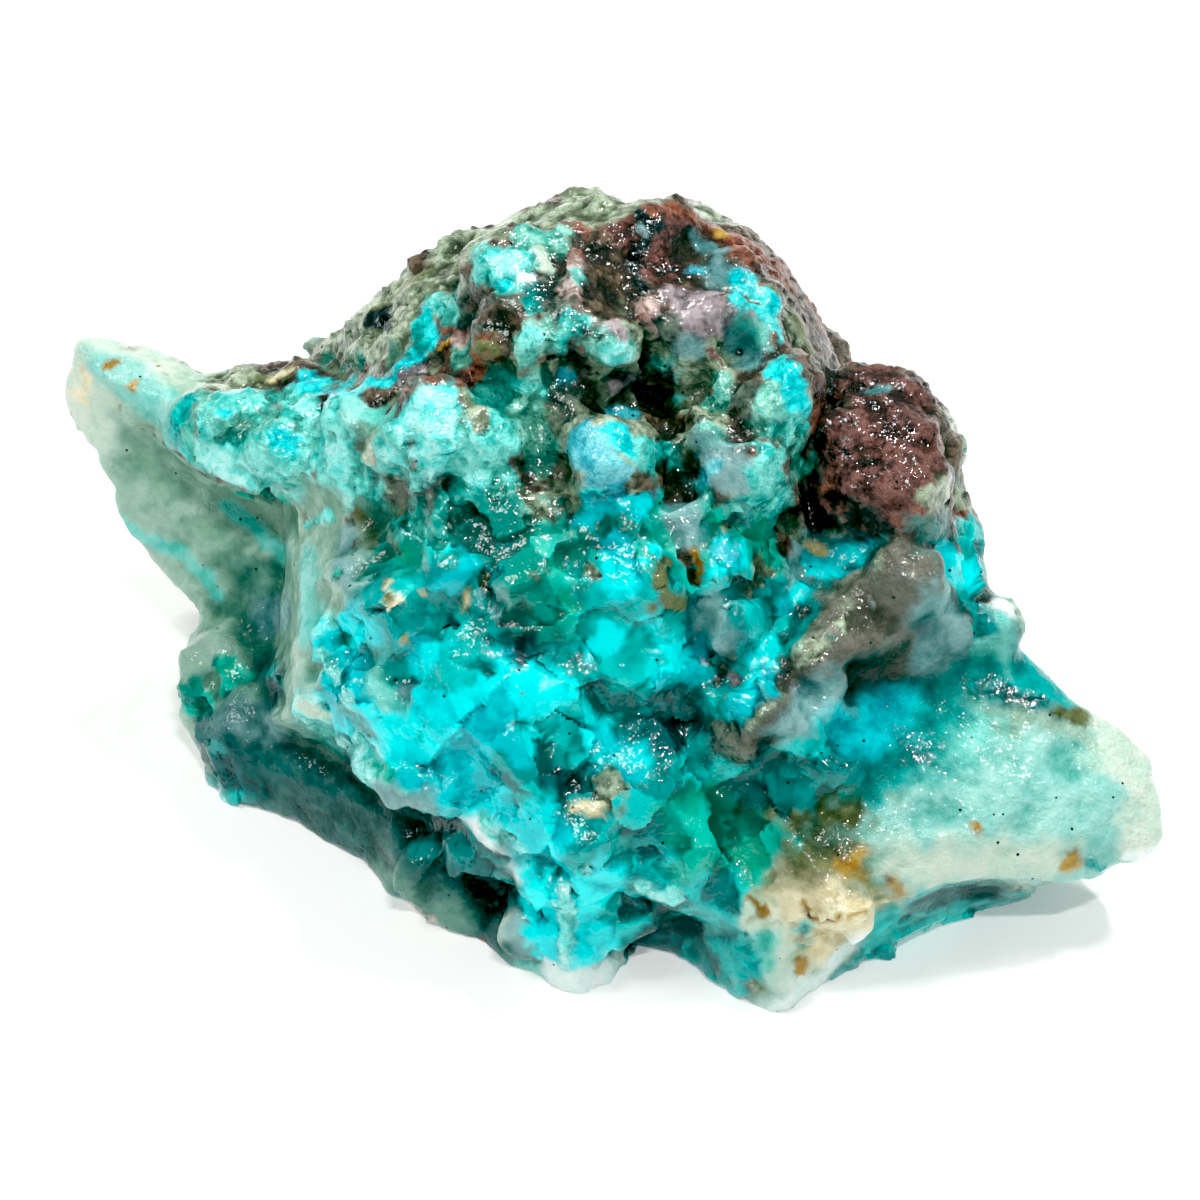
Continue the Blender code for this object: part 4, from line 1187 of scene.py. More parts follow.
@dataclass
class MineralMap:
    """Which mineral is where on the stone, from brush strokes and, on hidden sides, from noise."""

    ground: Ground
    step_px: float = 9.0
    step_mm: float = 0.5
    warp_mm: float = 0.35
    warp_size_mm: float = 1.6
    warp_seeds: tuple[int, int, int] = (11, 12, 13)
    stretch: float = 0.45
    stretch_size_mm: float = 1.2
    stretch_seed: int = 14
    widest: float = 1.4
    thin_mm: float = 0.5
    grains: Cells = Cells(0.85, 17)
    rock_level_mm: tuple[float, float] = (11.0, 15.0)
    rock_sway_mm: float = 2.0

    def marks(self, stroke: Stroke) -> list[Vector]:
        """Close places along a stroke.

        Args:
            stroke: The stroke.

        Returns:
            Places on the stone in millimetres.
        """
        found = []
        for start, end in zip(stroke.marks, stroke.marks[1:] + stroke.marks[-1:]):
            step = self.step_px if len(start) == 2 else self.step_mm
            parts = max(1, math.ceil(math.dist(start, end) / step))
            for part in range(parts):
                hit = self.ground.placed([a + (b - a) * part / parts for a, b in zip(start, end)])
                if hit:
                    found.append(hit[0])
        if not found:
            log.warning("a stroke of %s missed the stone at %s", stroke.mineral, stroke.marks[0])
        return found

    def weights(self, points: np.ndarray) -> Shares:
        """Share of each mineral at each point.

        Args:
            points: Places in millimetres.

        Returns:
            For each mineral its shares, which sum to 1 at each point.
        """
        share = self.ground_coat(points)
        warped = wobbled(points, self.warp_size_mm, self.warp_seeds, 3, self.warp_mm)
        tree = kdtree.KDTree(len(warped))
        for index, point in enumerate(warped):
            tree.insert(point, index)
        tree.balance()
        stretch = 1 + self.stretch * waves(points, self.stretch_size_mm, self.stretch_seed)
        for stroke in HIDDEN_STROKES + SEEN_STROKES:
            soft = stroke.habit() is Habit.CALM and stroke.half_mm > self.thin_mm
            fade = (SOFT_BORDER if soft else GRAINED_BORDER).fade
            gaps = self.near(tree, stroke, stroke.half_mm * (1 + fade) * self.widest)
            if not gaps:
                continue
            where = np.fromiter(gaps.keys(), np.int64)
            gap = np.fromiter(gaps.values(), float) / stroke.half_mm / stretch[where]
            cover = 1 - smoothstep(1 - fade, 1 + fade, gap)
            for shares in share.values():
                shares[where] *= 1 - cover
            share[stroke.mineral][where] += cover
        return self.grained(share, points)

    def near(self, tree: kdtree.KDTree, stroke: Stroke, reach: float) -> dict[int, float]:
        """The points within reach of a stroke.

        Args:
            tree: All the points in millimetres.
            stroke: The stroke.
            reach: How far it reaches, in millimetres.

        Returns:
            For each point's index its distance from the nearest mark.
        """
        gaps: dict[int, float] = {}
        for mark in self.marks(stroke):
            for _, index, gap in tree.find_range(mark, reach):
                if gap < gaps.get(index, reach):
                    gaps[index] = gap
        return gaps

    def grained(self, share: Shares, points: np.ndarray) -> Shares:
        """Lets single grains go to one mineral or the other where two meet.

        Args:
            share: Soft shares of each mineral at each point.
            points: Places in millimetres.

        Returns:
            The shares with grained borders, which sum to 1.
        """
        lots = self.grains.lots(points, len(share))
        total = np.zeros(len(points))
        for lot, (name, shares) in zip(lots, share.items()):
            border = SOFT_BORDER if MINERALS[name].habit is Habit.CALM else GRAINED_BORDER
            luck = border.least_luck + border.luck_range * lot
            share[name] = (shares * luck) ** border.sharpness
            total += share[name]
        return {name: shares / np.maximum(total, 1e-9) for name, shares in share.items()}

    def ground_coat(self, points: np.ndarray) -> Shares:
        """Minerals under the strokes: chalcedony and teal below, weathered rock above.

        Args:
            points: Places in millimetres.

        Returns:
            For each mineral its shares, which sum to 1 at each point.
        """
        share = {name: np.zeros(len(points)) for name in MINERALS}
        sway = self.rock_sway_mm * waves(points, 5.0, 29, 2)
        left = 1 - smoothstep(*self.rock_level_mm, points[:, 2] + sway)
        for patches in LOW_PATCHES:
            share[patches.mineral] = left * patches.cover(points)
            left = left - share[patches.mineral]
        left = 1 - share["silica"] - share["teal"]
        for patches in HIGH_PATCHES:
            share[patches.mineral] = left * patches.cover(points)
            left = left - share[patches.mineral]
        share["matrix"] = left
        return share


@dataclass
class Grain:
    """A small shape that repeats over the skin, modelled once and copied."""

    knobble: float
    crystal: bool
    seed: int
    cube: float = 1.7
    bevel: float = 0.25
    flatness: float = 0.85
    evenness: float = 0.4
    lean: float = 0.5
    stretch: tuple[float, float] = (0.75, 1.25)
    points: np.ndarray = field(init=False)
    faces: list[list[int]] = field(init=False)

    def model(self) -> "Grain":
        """Models the shape, about one unit in radius, and keeps its points and faces.

        Returns:
            The grain itself.
        """
        bpy.ops.object.select_all(action="DESELECT")
        if self.crystal:
            bpy.ops.mesh.primitive_cube_add(size=self.cube)
        else:
            bpy.ops.mesh.primitive_ico_sphere_add(subdivisions=2, radius=1)
        shape = bpy.context.object
        bpy.ops.object.mode_set(mode="EDIT")
        bpy.ops.mesh.select_all(action="SELECT")
        if self.crystal:
            bpy.ops.mesh.bevel(offset=self.bevel, segments=1, affect="EDGES")
        bpy.ops.transform.resize(value=(1, 1, self.flatness))
        bpy.ops.transform.vertex_random(offset=self.knobble, uniform=self.evenness, seed=self.seed)
        bpy.ops.object.mode_set(mode="OBJECT")
        self.points = points_of(shape) * MM
        self.faces = [list(face.vertices) for face in shape.data.polygons]
        bpy.data.objects.remove(shape)
        return self

    def placed(self, hit: Hit, radius: float, sunk: float, draw: random.Random) -> Shape:
        """One copy of the grain on the surface.

        Args:
            hit: Point and outward normal that it stands on.
            radius: Its size in millimetres.
            sunk: Share of the radius that its middle lies under the surface.
            draw: Source of the random turn and stretch.

        Returns:
            Its points in millimetres and its faces.
        """
        point, normal = hit
        aim = normal.to_track_quat("Z", "Y").to_matrix()
        lean = Matrix.Identity(3)
        if self.crystal:
            lean = Matrix.Rotation(draw.uniform(-self.lean, self.lean), 3, "X")
        turn = Matrix.Rotation(draw.uniform(0, math.tau), 3, "Z")
        stretch = Matrix.Diagonal((draw.uniform(*self.stretch), draw.uniform(*self.stretch), 1))
        shape = np.array(aim @ lean @ turn @ stretch) * radius
        middle = np.array(point - normal * radius * sunk)
        return self.points @ shape.T + middle, self.faces


@dataclass(frozen=True)
class Strewing:
    """Grains strewn over the strokes of some habits: how many, how big and how far sunk."""

    habits: tuple[Habit, ...]
    count: int
    least_mm: float
    most_mm: float
    sunk: float

    def strokes(self) -> list[Stroke]:
        """The seen strokes that the grains lie in."""
        return [stroke for stroke in SEEN_STROKES if stroke.habit() in self.habits]

    def one(self, grains: Sequence[Grain], hit: Hit, draw: random.Random) -> Shape:
        """One of the grains at a random size, small ones more often than large ones."""
        radius = self.least_mm + (self.most_mm - self.least_mm) * draw.random() ** 2
        return draw.choice(grains).placed(hit, radius, self.sunk, draw)


class Form(Enum):
    """What a layer of relief is shaped from."""

    WAVES = "smooth waves"
    NODULES = "round nodules"
    BLOCKS = "flat tilted faces"


@dataclass(frozen=True)
class Relief:
    """One layer of relief, on the minerals of one habit or, without a habit, on all."""

    habit: Habit | None
    form: Form
    size_mm: float
    seed: int
    height_mm: float
    sunk_mm: float = 0.0
    octaves: int = 3
    bent: bool = False

    def heights(self, points: np.ndarray, bent: np.ndarray) -> np.ndarray:
        """Height of the layer at each point.

        Args:
            points: Places in millimetres.
            bent: The same places, shifted by waves.

        Returns:
            Heights in millimetres.
        """
        places = bent if self.bent else points
        if self.form is Form.WAVES:
            level = waves(places, self.size_mm, self.seed, self.octaves)
        elif self.form is Form.NODULES:
            level = Cells(self.size_mm, self.seed).nodules(places)
        else:
            level = Cells(self.size_mm, self.seed).blocks(places)
        return self.height_mm * level - self.sunk_mm


# cells of the broken chips, of the crust's granules and of the grains that differ in tone
CHIPS = Cells(2.6, 71)
GRANULES = Cells(0.95, 73)
TONE_GRAINS = Cells(0.7, 19)
RELIEF = (
    Relief(None, Form.WAVES, 2.4, 51, 0.06, 0.03),
    Relief(Habit.CALM, Form.WAVES, 1.5, 52, 0.12, octaves=4),
    Relief(Habit.NODULAR, Form.NODULES, 1.15, 61, 0.26, 0.2, bent=True),
    Relief(Habit.NODULAR, Form.NODULES, 0.6, 62, 0.16, 0.11),
    Relief(Habit.BLOCKY, Form.BLOCKS, CHIPS.size_mm, CHIPS.seed, 0.1),
    Relief(Habit.BLOCKY, Form.BLOCKS, 1.0, 72, 0.05),
    Relief(Habit.CRYSTAL, Form.BLOCKS, 1.9, 81, 0.13, bent=True),
    Relief(Habit.GRITTY, Form.NODULES, 0.7, 91, 0.2, 0.15, bent=True),
    Relief(Habit.GRITTY, Form.WAVES, 0.7, 92, 0.08, octaves=2),
)


def linear(code: str) -> tuple[float, float, float, float]:
    """A colour from its sRGB hex code, as linear values.

    Args:
        code: The code, such as #00C3CB.

    Returns:
        Red, green, blue and full alpha.
    """
    parts = [int(code[at : at + 2], 16) / 255 for at in (1, 3, 5)]
    bent = [p / 12.92 if p <= 0.04045 else ((p + 0.055) / 1.055) ** 2.4 for p in parts]
    return (bent[0], bent[1], bent[2], 1.0)


@dataclass
class Dressing:
    """What the finish reads from the skin: tones, qualities, grain tone, wetness, and dips that place painted shade.
    """

    piece: bpy.types.Object
    share: Shares
    chip_tone: float = 1.7
    least_grainy: float = 0.35
    calm_dry: float = 0.5
    gritty_dry: float = 0.35
    # narrow and broad dips: the finish paints shade into them and light onto the ridges between
    crevice: tuple[int, float] = (4, 0.05)
    hollow: tuple[int, float] = (60, 0.35)
    film_rounds: int = 4

    def write_all(self) -> None:
        """Writes every attribute."""
        for tone in ("dark", "pale"):
            mixed = np.zeros((len(self.piece.data.vertices), 4))
            for name, shares in self.share.items():
                mixed += shares[:, None] * np.array(linear(getattr(MINERALS[name], tone)))
            self.write(tone, mixed, "FLOAT_COLOR", "color")
        for quality in ("glow", "grit", "rough", "seam_dirt_and_shade"):
            parts = [
                shares * getattr(MINERALS[name], quality) for name, shares in self.share.items()
            ]
            self.write(quality, sum(parts))
        self.write_grain()
        self.write("crevice", self.dips(*self.crevice))
        self.write("hollow", self.dips(*self.hollow))
        film = unit_rows(self.averaged(normals_of(self.piece), self.film_rounds))
        self.write("film", film, "FLOAT_VECTOR", "vector")

    def write_grain(self) -> None:
        """Writes how each grain and chip differs in tone, and how wet it is."""
        calm = habit_share(self.share, Habit.CALM)
        blocky = habit_share(self.share, Habit.BLOCKY)
        grained = 1 - calm - blocky
        points = points_of(self.piece)
        lot = TONE_GRAINS.lots(points, 1)[0] - 0.5
        chip_lot = CHIPS.lots(points, 1)[0] - 0.5
        self.write("lot", 0.5 + lot * grained + self.chip_tone * chip_lot * blocky)
        self.write("grainy", self.least_grainy + (1 - self.least_grainy) * grained)
        dry = self.calm_dry * calm + self.gritty_dry * habit_share(self.share, Habit.GRITTY)
        self.write("wet", 1 - dry)

    def write(self, name: str, values: np.ndarray, kind: str = "FLOAT", key: str = "value") -> None:
        """Writes what each vertex holds as a named attribute.

        Args:
            name: The attribute's name.
            values: A number or a row of numbers for each vertex.
            kind: The attribute's type.
            key: Name of the property that the values go into.
        """
        attribute = self.piece.data.attributes.new(name, kind, "POINT")
        attribute.data.foreach_set(key, values.astype(np.float32).ravel())

    def dips(self, rounds: int, depth_mm: float) -> np.ndarray:
        """How far each vertex lies in a dip or on a ridge, which places painted shade and painted light.

        Args:
            rounds: How often the skin is averaged, which sets how wide the dips are.
            depth_mm: Depth that counts as full.

        Returns:
            0 on the sharpest ridges, 0.5 on level skin and 1 in the deepest dips.
        """
        points, normals = points_of(self.piece), normals_of(self.piece)
        dip = ((self.averaged(points, rounds) - points) * normals).sum(axis=1)
        return np.clip(0.5 + dip / depth_mm / 2, 0, 1)

    def averaged(self, values: np.ndarray, rounds: int) -> np.ndarray:
        """Averages what each vertex holds over its neighbours.

        Args:
            values: Three numbers for each vertex.
            rounds: How often it is averaged.

        Returns:
            The averaged numbers.
        """
        ends = np.empty(len(self.piece.data.edges) * 2, np.int64)
        self.piece.data.edges.foreach_get("vertices", ends)
        here = np.concatenate([ends[0::2], ends[1::2]])
        there = np.concatenate([ends[1::2], ends[0::2]])
        many = len(values)
        count = np.maximum(np.bincount(here, minlength=many), 1)[:, None]
        level = values.copy()
        for _ in range(rounds):
            sums = [np.bincount(here, level[there, axis], many) for axis in range(3)]
            level = np.stack(sums, axis=1) / count
        return level


@dataclass
class Skin:
    """The whole stone with its fine relief, which stands for the plain solid."""

    name: str = "wet_mineral_skin"
    seed: int = 5
    shard_field: ShardField = ShardField()
    shards: Strewing = Strewing((), 80, 0.8, 1.9, 0.6)
    crust_grains: Strewing = Strewing((Habit.NODULAR,), 1200, 0.28, 0.7, 0.3)
    crystal_grains: Strewing = Strewing((Habit.BLOCKY, Habit.CRYSTAL), 90, 0.35, 0.9, 0.5)
    voxel_mm: float = 0.2
    crystal_calm: float = 0.5
    blocky_calm: float = 0.3
    calm_steps: int = 10
    calm_rounds: int = 14
    bend_mm: float = 0.15
    bend_size_mm: float = 1.5
    bend_seeds: tuple[int, int, int] = (3, 4, 5)
    chip_press: float = 0.85
    crystal_press: float = 0.6
    granule_press: float = 0.45
    chip_shift_mm: float = 0.5
    granule_shift_mm: float = 0.3
    most_triangles: int = 196000
    hidden_turn: float = -0.1
    hidden_keep: float = 0.3
    even_weight: float = 0.05
    crease: float = math.radians(40)
    piece: bpy.types.Object = field(init=False)
    ground: Ground = field(init=False)

    def build(self) -> bpy.types.Object:
        """Models the skin from a copy of the plain solid.

        Returns:
            The finished piece.
        """
        self.copy_solid()
        self.ground = Ground(self.piece)
        self.add_grains()
        apply_modifier(self.piece, "REMESH", mode="VOXEL", voxel_size=self.voxel_mm * MM)
        minerals = MineralMap(self.ground)
        share = minerals.weights(points_of(self.piece))
        self.calm_down(share)
        self.raise_relief(share)
        self.thin_out()
        self.stand_level()
        Dressing(self.piece, minerals.weights(points_of(self.piece))).write_all()
        select_only(self.piece)
        bpy.ops.object.shade_smooth_by_angle(angle=self.crease)
        return self.piece

    def copy_solid(self) -> None:
        """Takes a merged copy of the plain solid."""
        select_only(frame["nodes"][NODE])
        bpy.ops.object.duplicate()
        self.piece = bpy.context.object
        self.piece.name = self.name
        self.piece.data.name = self.name
        for key in [key for key in self.piece.keys() if key.startswith("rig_")]:
            del self.piece[key]
        self.piece.parent = None
        self.piece.matrix_world = Matrix.Identity(4)
        select_only(self.piece)
        bpy.ops.object.mode_set(mode="EDIT")
        bpy.ops.mesh.select_all(action="SELECT")
        bpy.ops.mesh.remove_doubles(threshold=0.001 * MM)
        bpy.ops.object.mode_set(mode="OBJECT")
        self.piece.data.materials.clear()

    def add_grains(self) -> None:
        """Joins shards, broad masses, nodules and crystals to the copy, partly sunk."""
        draw = random.Random(self.seed)
        nodules = [Grain(knobble=0.12, crystal=False, seed=seed).model() for seed in range(4)]
        crystals = [Grain(knobble=0.22, crystal=True, seed=seed).model() for seed in range(5)]
        mass = Grain(knobble=0.3, crystal=False, seed=9).model()
        made = []
        while len(made) < self.shards.count:
            px, py = draw.uniform(*self.shard_field.columns), draw.uniform(*self.shard_field.rows)
            hit = self.ground.landed(px, py) if self.shard_field.holds(px, py) else None
            if hit:
                made.append(self.shards.one(crystals, hit, draw))
        for fill in BROWN_LUMP_FILLS:
            hit = self.ground.landed(fill.px, fill.py)
            if hit:
                made.append(mass.placed(hit, fill.radius_mm, fill.sunk, draw))
        for strewing, grains in ((self.crust_grains, nodules), (self.crystal_grains, crystals)):
            strokes = strewing.strokes()
            for _ in range(strewing.count):
                hit = self.drawn_place(strokes, draw)
                if hit:
                    made.append(strewing.one(grains, hit, draw))
        self.join_shapes(made)

    def drawn_place(self, strokes: Sequence[Stroke], draw: random.Random) -> Hit | None:
        """A random place inside one of the strokes, drawn more often from a large one.

        Args:
            strokes: The strokes.
            draw: Source of the random place.

        Returns:
            The point and its outward normal, or None where it misses the stone.
        """
        sizes = [stroke.half_mm**2 * (2 + len(stroke.marks)) for stroke in strokes]
        stroke = draw.choices(strokes, sizes)[0]
        px, py = draw.choice(stroke.marks)
        turn = draw.uniform(0, math.tau)
        reach = stroke.half_mm * SIGHT.pixels_per_mm * math.sqrt(draw.random())
        return self.ground.landed(px + reach * math.cos(turn), py + reach * math.sin(turn))

    def join_shapes(self, made: Iterable[Shape]) -> None:
        """Joins loose shapes to the copy of the solid.

        Args:
            made: Points in millimetres and faces of each shape.
        """
        corners: list[np.ndarray] = []
        faces: list[list[int]] = []
        count = 0
        for points, shape_faces in made:
            corners.append(points)
            faces += [[corner + count for corner in face] for face in shape_faces]
            count += len(points)
        mesh = bpy.data.meshes.new("grains")
        mesh.from_pydata((np.concatenate(corners) * MM).tolist(), [], faces)
        grains = bpy.data.objects.new("grains", mesh)
        bpy.context.scene.collection.objects.link(grains)
        select_only(self.piece)
        grains.select_set(True)
        bpy.ops.object.join()

    def calm_down(self, share: Shares) -> None:
        """Smooths the skin where its mineral is calm, so that no plain facet shows there.

        Args:
            share: Share of each mineral at each vertex.
        """
        group = self.piece.vertex_groups.new(name="calm")
        calm = habit_share(share, Habit.CALM) + self.crystal_calm * habit_share(share, Habit.CRYSTAL)
        calm += self.blocky_calm * habit_share(share, Habit.BLOCKY) + share["iron"]
        steps = np.round(np.clip(calm, 0, 1) * self.calm_steps)
        for step in range(1, self.calm_steps + 1):
            group.add(np.nonzero(steps == step)[0].tolist(), step / self.calm_steps, "REPLACE")
        apply_modifier(self.piece, "SMOOTH", factor=0.5, iterations=1)
        apply_modifier(
            self.piece, "SMOOTH", factor=0.6, iterations=self.calm_rounds, vertex_group="calm"
        )

    def raise_relief(self, share: Shares) -> None:
        """Raises each mineral's own relief, and presses the broken ones into flat chips.

        Args:
            share: Share of each mineral at each vertex.
        """
        points, normals = points_of(self.piece), normals_of(self.piece)
        bent = wobbled(points, self.bend_size_mm, self.bend_seeds, 2, self.bend_mm)
        height = np.zeros(len(points))
        for layer in RELIEF:
            held = habit_share(share, layer.habit) if layer.habit else 1
            height += held * layer.heights(points, bent)
        broken = habit_share(share, Habit.BLOCKY) + share["cream"]
        press = self.chip_press * broken + self.crystal_press * habit_share(share, Habit.CRYSTAL)
        raised = chipped(points, normals, press, CHIPS, self.chip_shift_mm)
        raised += normals * height[:, None]
        press = self.granule_press * habit_share(share, Habit.NODULAR)
        reshape_piece(self.piece, chipped(raised, normals, press, GRANULES, self.granule_shift_mm))

    def thin_out(self) -> None:
        """Takes away triangles that show little, more of them on the hidden sides."""
        points, normals = points_of(self.piece), normals_of(self.piece)
        towards = unit_rows(np.array(SIGHT.eye()) - points)
        hidden = (normals * towards).sum(axis=1) < self.hidden_turn
        before = self.triangles()
        kept = before * (1 - hidden.mean() * (1 - self.hidden_keep))
        self.collapse(kept / before, np.nonzero(hidden)[0], 1.0)
        every = np.arange(len(self.piece.data.vertices))
        self.collapse(self.most_triangles / self.triangles(), every, self.even_weight)
        log.info("skin thinned from %d to %d and %d triangles", before, kept, self.triangles())

    def collapse(self, ratio: float, vertices: np.ndarray, weight: float) -> None:
        """Thins the skin where its shape allows it, and evens its triangles out elsewhere.

        Args:
            ratio: Share of the triangles that stay.
            vertices: Indices of the vertices that are thinned by shape.
            weight: How far they are, from 0 to 1. The rest goes by edge length.
        """
        group = self.piece.vertex_groups.new(name="thinned")
        group.add(vertices.tolist(), weight, "REPLACE")
        if ratio < 1:
            apply_modifier(
                self.piece, "DECIMATE", ratio=ratio, vertex_group=group.name, vertex_group_factor=10.0
            )
        self.piece.vertex_groups.clear()

    def triangles(self) -> int:
        """Number of triangles in the piece."""
        return sum(len(face.vertices) - 2 for face in self.piece.data.polygons)

    def stand_level(self) -> None:
        """Keeps the skin's foot on the table."""
        points = points_of(self.piece)
        points[:, 2] = np.maximum(points[:, 2], 0)
        reshape_piece(self.piece, points)


def add_node(
    material: bpy.types.Material, kind: str, links: dict | None = None, **settings: object
) -> bpy.types.Node:
    """Adds a node to a material.

    Args:
        material: The material.
        kind: The node's type, without its ShaderNode prefix.
        links: For an input's name or number, the socket or the value that it takes.
        **settings: Properties of the node.

    Returns:
        The node.
    """
    tree = material.node_tree
    node = tree.nodes.new("ShaderNode" + kind)
    for name, value in settings.items():
        setattr(node, name, value)
    for name, value in (links or {}).items():
        if isinstance(value, Socket):
            tree.links.new(value, node.inputs[name])
        else:
            node.inputs[name].default_value = value
    return node


@dataclass(frozen=True)
class Bench:
    """A material under work, with the steps that its recipe repeats."""

    material: bpy.types.Material

    def held(self, name: str, output: str = "Fac") -> Socket:
        """What the skin holds under a name."""
        return add_node(self.material, "Attribute", attribute_name=name).outputs[output]

    def worked(self, operation: str, *values: Socket | float) -> Socket:
        """Result of a sum on sockets and numbers."""
        links = dict(enumerate(values))
        return add_node(self.material, "Math", links, operation=operation).outputs[0]

    def ranged(
        self,
        value: Socket,
        span: tuple[float, float],
        result: tuple[float, float] = (0.0, 1.0),
        ease: str = "LINEAR",
    ) -> Socket:
        """A value's way through a span.

        Args:
            value: The value.
            span: Where it starts and ends.
            result: What it gives at the start and at the end.
            ease: How it goes from one to the other.

        Returns:
            The result, which stays within its two ends.
        """
        names = ("Value", "From Min", "From Max", "To Min", "To Max")
        links = dict(zip(names, (value, *span, *result)))
        return add_node(self.material, "MapRange", links, interpolation_type=ease).outputs[0]

    def blended(self, share: Socket, under: object, over: object) -> Socket:
        """One colour over another, by a share."""
        links = {0: share, 6: under, 7: over}
        return add_node(self.material, "Mix", links, data_type="RGBA").outputs[2]

    def clouds(self, place: Socket, size_mm: float, detail: float) -> Socket:
        """Soft noise of a size."""
        links = {"Vector": place, "Scale": 1 / (size_mm * MM), "Detail": detail, "Roughness": 0.6}
        return add_node(self.material, "TexNoise", links).outputs[0]

    def cell_distance(self, place: Socket, size_mm: float) -> Socket:
        """Distance from the middle of the nearest random cell, as a share of its size."""
        links = {"Vector": place, "Scale": 1 / (size_mm * MM)}
        return add_node(self.material, "TexVoronoi", links).outputs["Distance"]

    def bump(self, height: Socket, distance_mm: float, **links: Socket) -> Socket:
        """Normal of a surface with bumps."""
        links |= {"Strength": 1.0, "Distance": distance_mm * MM, "Height": height}
        return add_node(self.material, "Bump", links).outputs[0]


@dataclass(frozen=True)
class WetBrokenMineral:
    """Broken and grown mineral, wet: clear water over colour that shines a little from within."""

    name: str = "wet_broken_mineral"
    cloud_mm: float = 2.4
    grain_mm: float = 0.5
    fine_mm: float = 0.16
    film_mm: float = 0.8
    sugar_mm: float = 0.42
    speck_mm: float = 1.3
    speck_span: tuple[float, float] = (0.05, 0.08)
    speck_colour: str = "#1B1D18"
    lot_weight: float = 0.4
    tone_span: tuple[float, float] = (0.9, 1.5)
    # painted shade in dips and painted light on ridges: the span of dips and the gamma it maps to
    painted_shade_dip_span: tuple[float, float] = (0.6, 1.7)
    painted_shade_light_gamma: tuple[float, float] = (0.8, 1.35)
    sugar_weight: float = 0.4
    # brown in seams between granules and in dips: partly real brown rock, partly painted shade
    seam_dirt_and_shade_span: tuple[float, float] = (1.15, 1.7)
    seam_dirt_and_shade_colour: str = "#3A2E24"
    glow_mm: float = 0.6
    glow_radius: tuple[float, float, float] = (0.35, 1.0, 0.95)
    body_shine: float = 0.1
    fine_weight: float = 0.3
    bump_mm: float = 0.3
    film_bump_mm: float = 0.17
    water_roughness: float = 0.04
    water_ior: float = 1.5

    def make(self) -> bpy.types.Material:
        """Makes the material.

        Returns:
            The material, which reads the skin's attributes.
        """
        material = bpy.data.materials.new(self.name)
        material.use_nodes = True
        bench = Bench(material)
        place = add_node(material, "TexCoord").outputs["Object"]
        noise = {
            "cloud": bench.clouds(place, self.cloud_mm, 4.0),
            "grain": bench.clouds(place, self.grain_mm, 3.0),
            "fine": bench.clouds(place, self.fine_mm, 1.0),
            "film": bench.clouds(place, self.film_mm, 2.0),
            "sugar": bench.cell_distance(place, self.sugar_mm),
        }
        clean = self.toned(bench, noise)
        speck = bench.ranged(bench.cell_distance(place, self.speck_mm), self.speck_span)
        sockets = {
            "Base Color": bench.blended(
                speck, linear(self.speck_colour), self.with_painted_shade_and_seams(bench, clean, noise)
            ),
            "Subsurface Weight": bench.held("glow"),
            "Roughness": bench.held("rough"),
            "Normal": self.bumped(bench, noise),
            "Coat Normal": self.film(bench, noise),
            "Coat Weight": bench.held("wet"),
        }
        numbers = {
            "Subsurface Radius": self.glow_radius,
            "Subsurface Scale": self.glow_mm * MM,
            "Specular IOR Level": self.body_shine,
            "Coat Roughness": self.water_roughness,
            "Coat IOR": self.water_ior,
        }
        shader = material.node_tree.nodes["Principled BSDF"]
        for name, socket in sockets.items():
            material.node_tree.links.new(socket, shader.inputs[name])
        for name, value in numbers.items():
            shader.inputs[name].default_value = value
        return material

    def toned(self, bench: Bench, noise: dict[str, Socket]) -> Socket:
        """Each place's colour between its minerals' dark and pale tone, in clouds and grains.

        Args:
            bench: The material under work.
            noise: The noises by name.

        Returns:
            The colour.
        """
        links = {0: bench.held("grainy"), 2: 0.5, 3: noise["grain"]}
        grain = add_node(bench.material, "Mix", links, data_type="FLOAT").outputs[0]
        both = bench.worked("ADD", noise["cloud"], grain)
        level = bench.worked("MULTIPLY_ADD", bench.held("lot"), self.lot_weight, both)
        tone = bench.ranged(level, self.tone_span, ease="SMOOTHSTEP")
        return bench.blended(tone, bench.held("dark", "Color"), bench.held("pale", "Color"))

    def with_painted_shade_and_seams(self, bench: Bench, colour: Socket, noise: dict[str, Socket]) -> Socket:
        """Darkens dips with painted shade, lightens ridges with painted light and browns the seams, partly as painted
        shade.

        Args:
            bench: The material under work.
            colour: The clean colour.
            noise: The noises by name.

        Returns:
            The colour with its painted shade, painted light and brown seams.
        """
        dip = bench.worked("ADD", bench.held("crevice"), bench.held("hollow"))
        # painted shade and light: gamma above 1 darkens dips, below 1 lightens ridges
        depth = bench.ranged(dip, self.painted_shade_dip_span, self.painted_shade_light_gamma)
        painted_shade_and_light = add_node(bench.material, "Gamma", {"Color": colour, "Gamma": depth}).outputs[0]
        # brown seams and dips: partly real rock between granules, partly painted shade
        seam = bench.worked("MULTIPLY_ADD", noise["sugar"], self.sugar_weight, dip)
        seam_and_shade_mask = bench.ranged(seam, self.seam_dirt_and_shade_span, ease="SMOOTHSTEP")
        amount = bench.worked("MULTIPLY", seam_and_shade_mask, bench.held("seam_dirt_and_shade"))
        return bench.blended(amount, painted_shade_and_light, linear(self.seam_dirt_and_shade_colour))

    def bumped(self, bench: Bench, noise: dict[str, Socket]) -> Socket:
        """Normal of the mineral's own fine bumps.

        Args:
            bench: The material under work.
            noise: The noises by name.

        Returns:
            The normal.
        """
        grains = bench.worked("MULTIPLY_ADD", noise["sugar"], -self.fine_weight, noise["grain"])
        fine = bench.worked("MULTIPLY_ADD", noise["fine"], self.fine_weight, grains)
        return bench.bump(bench.worked("MULTIPLY", fine, bench.held("grit")), self.bump_mm)

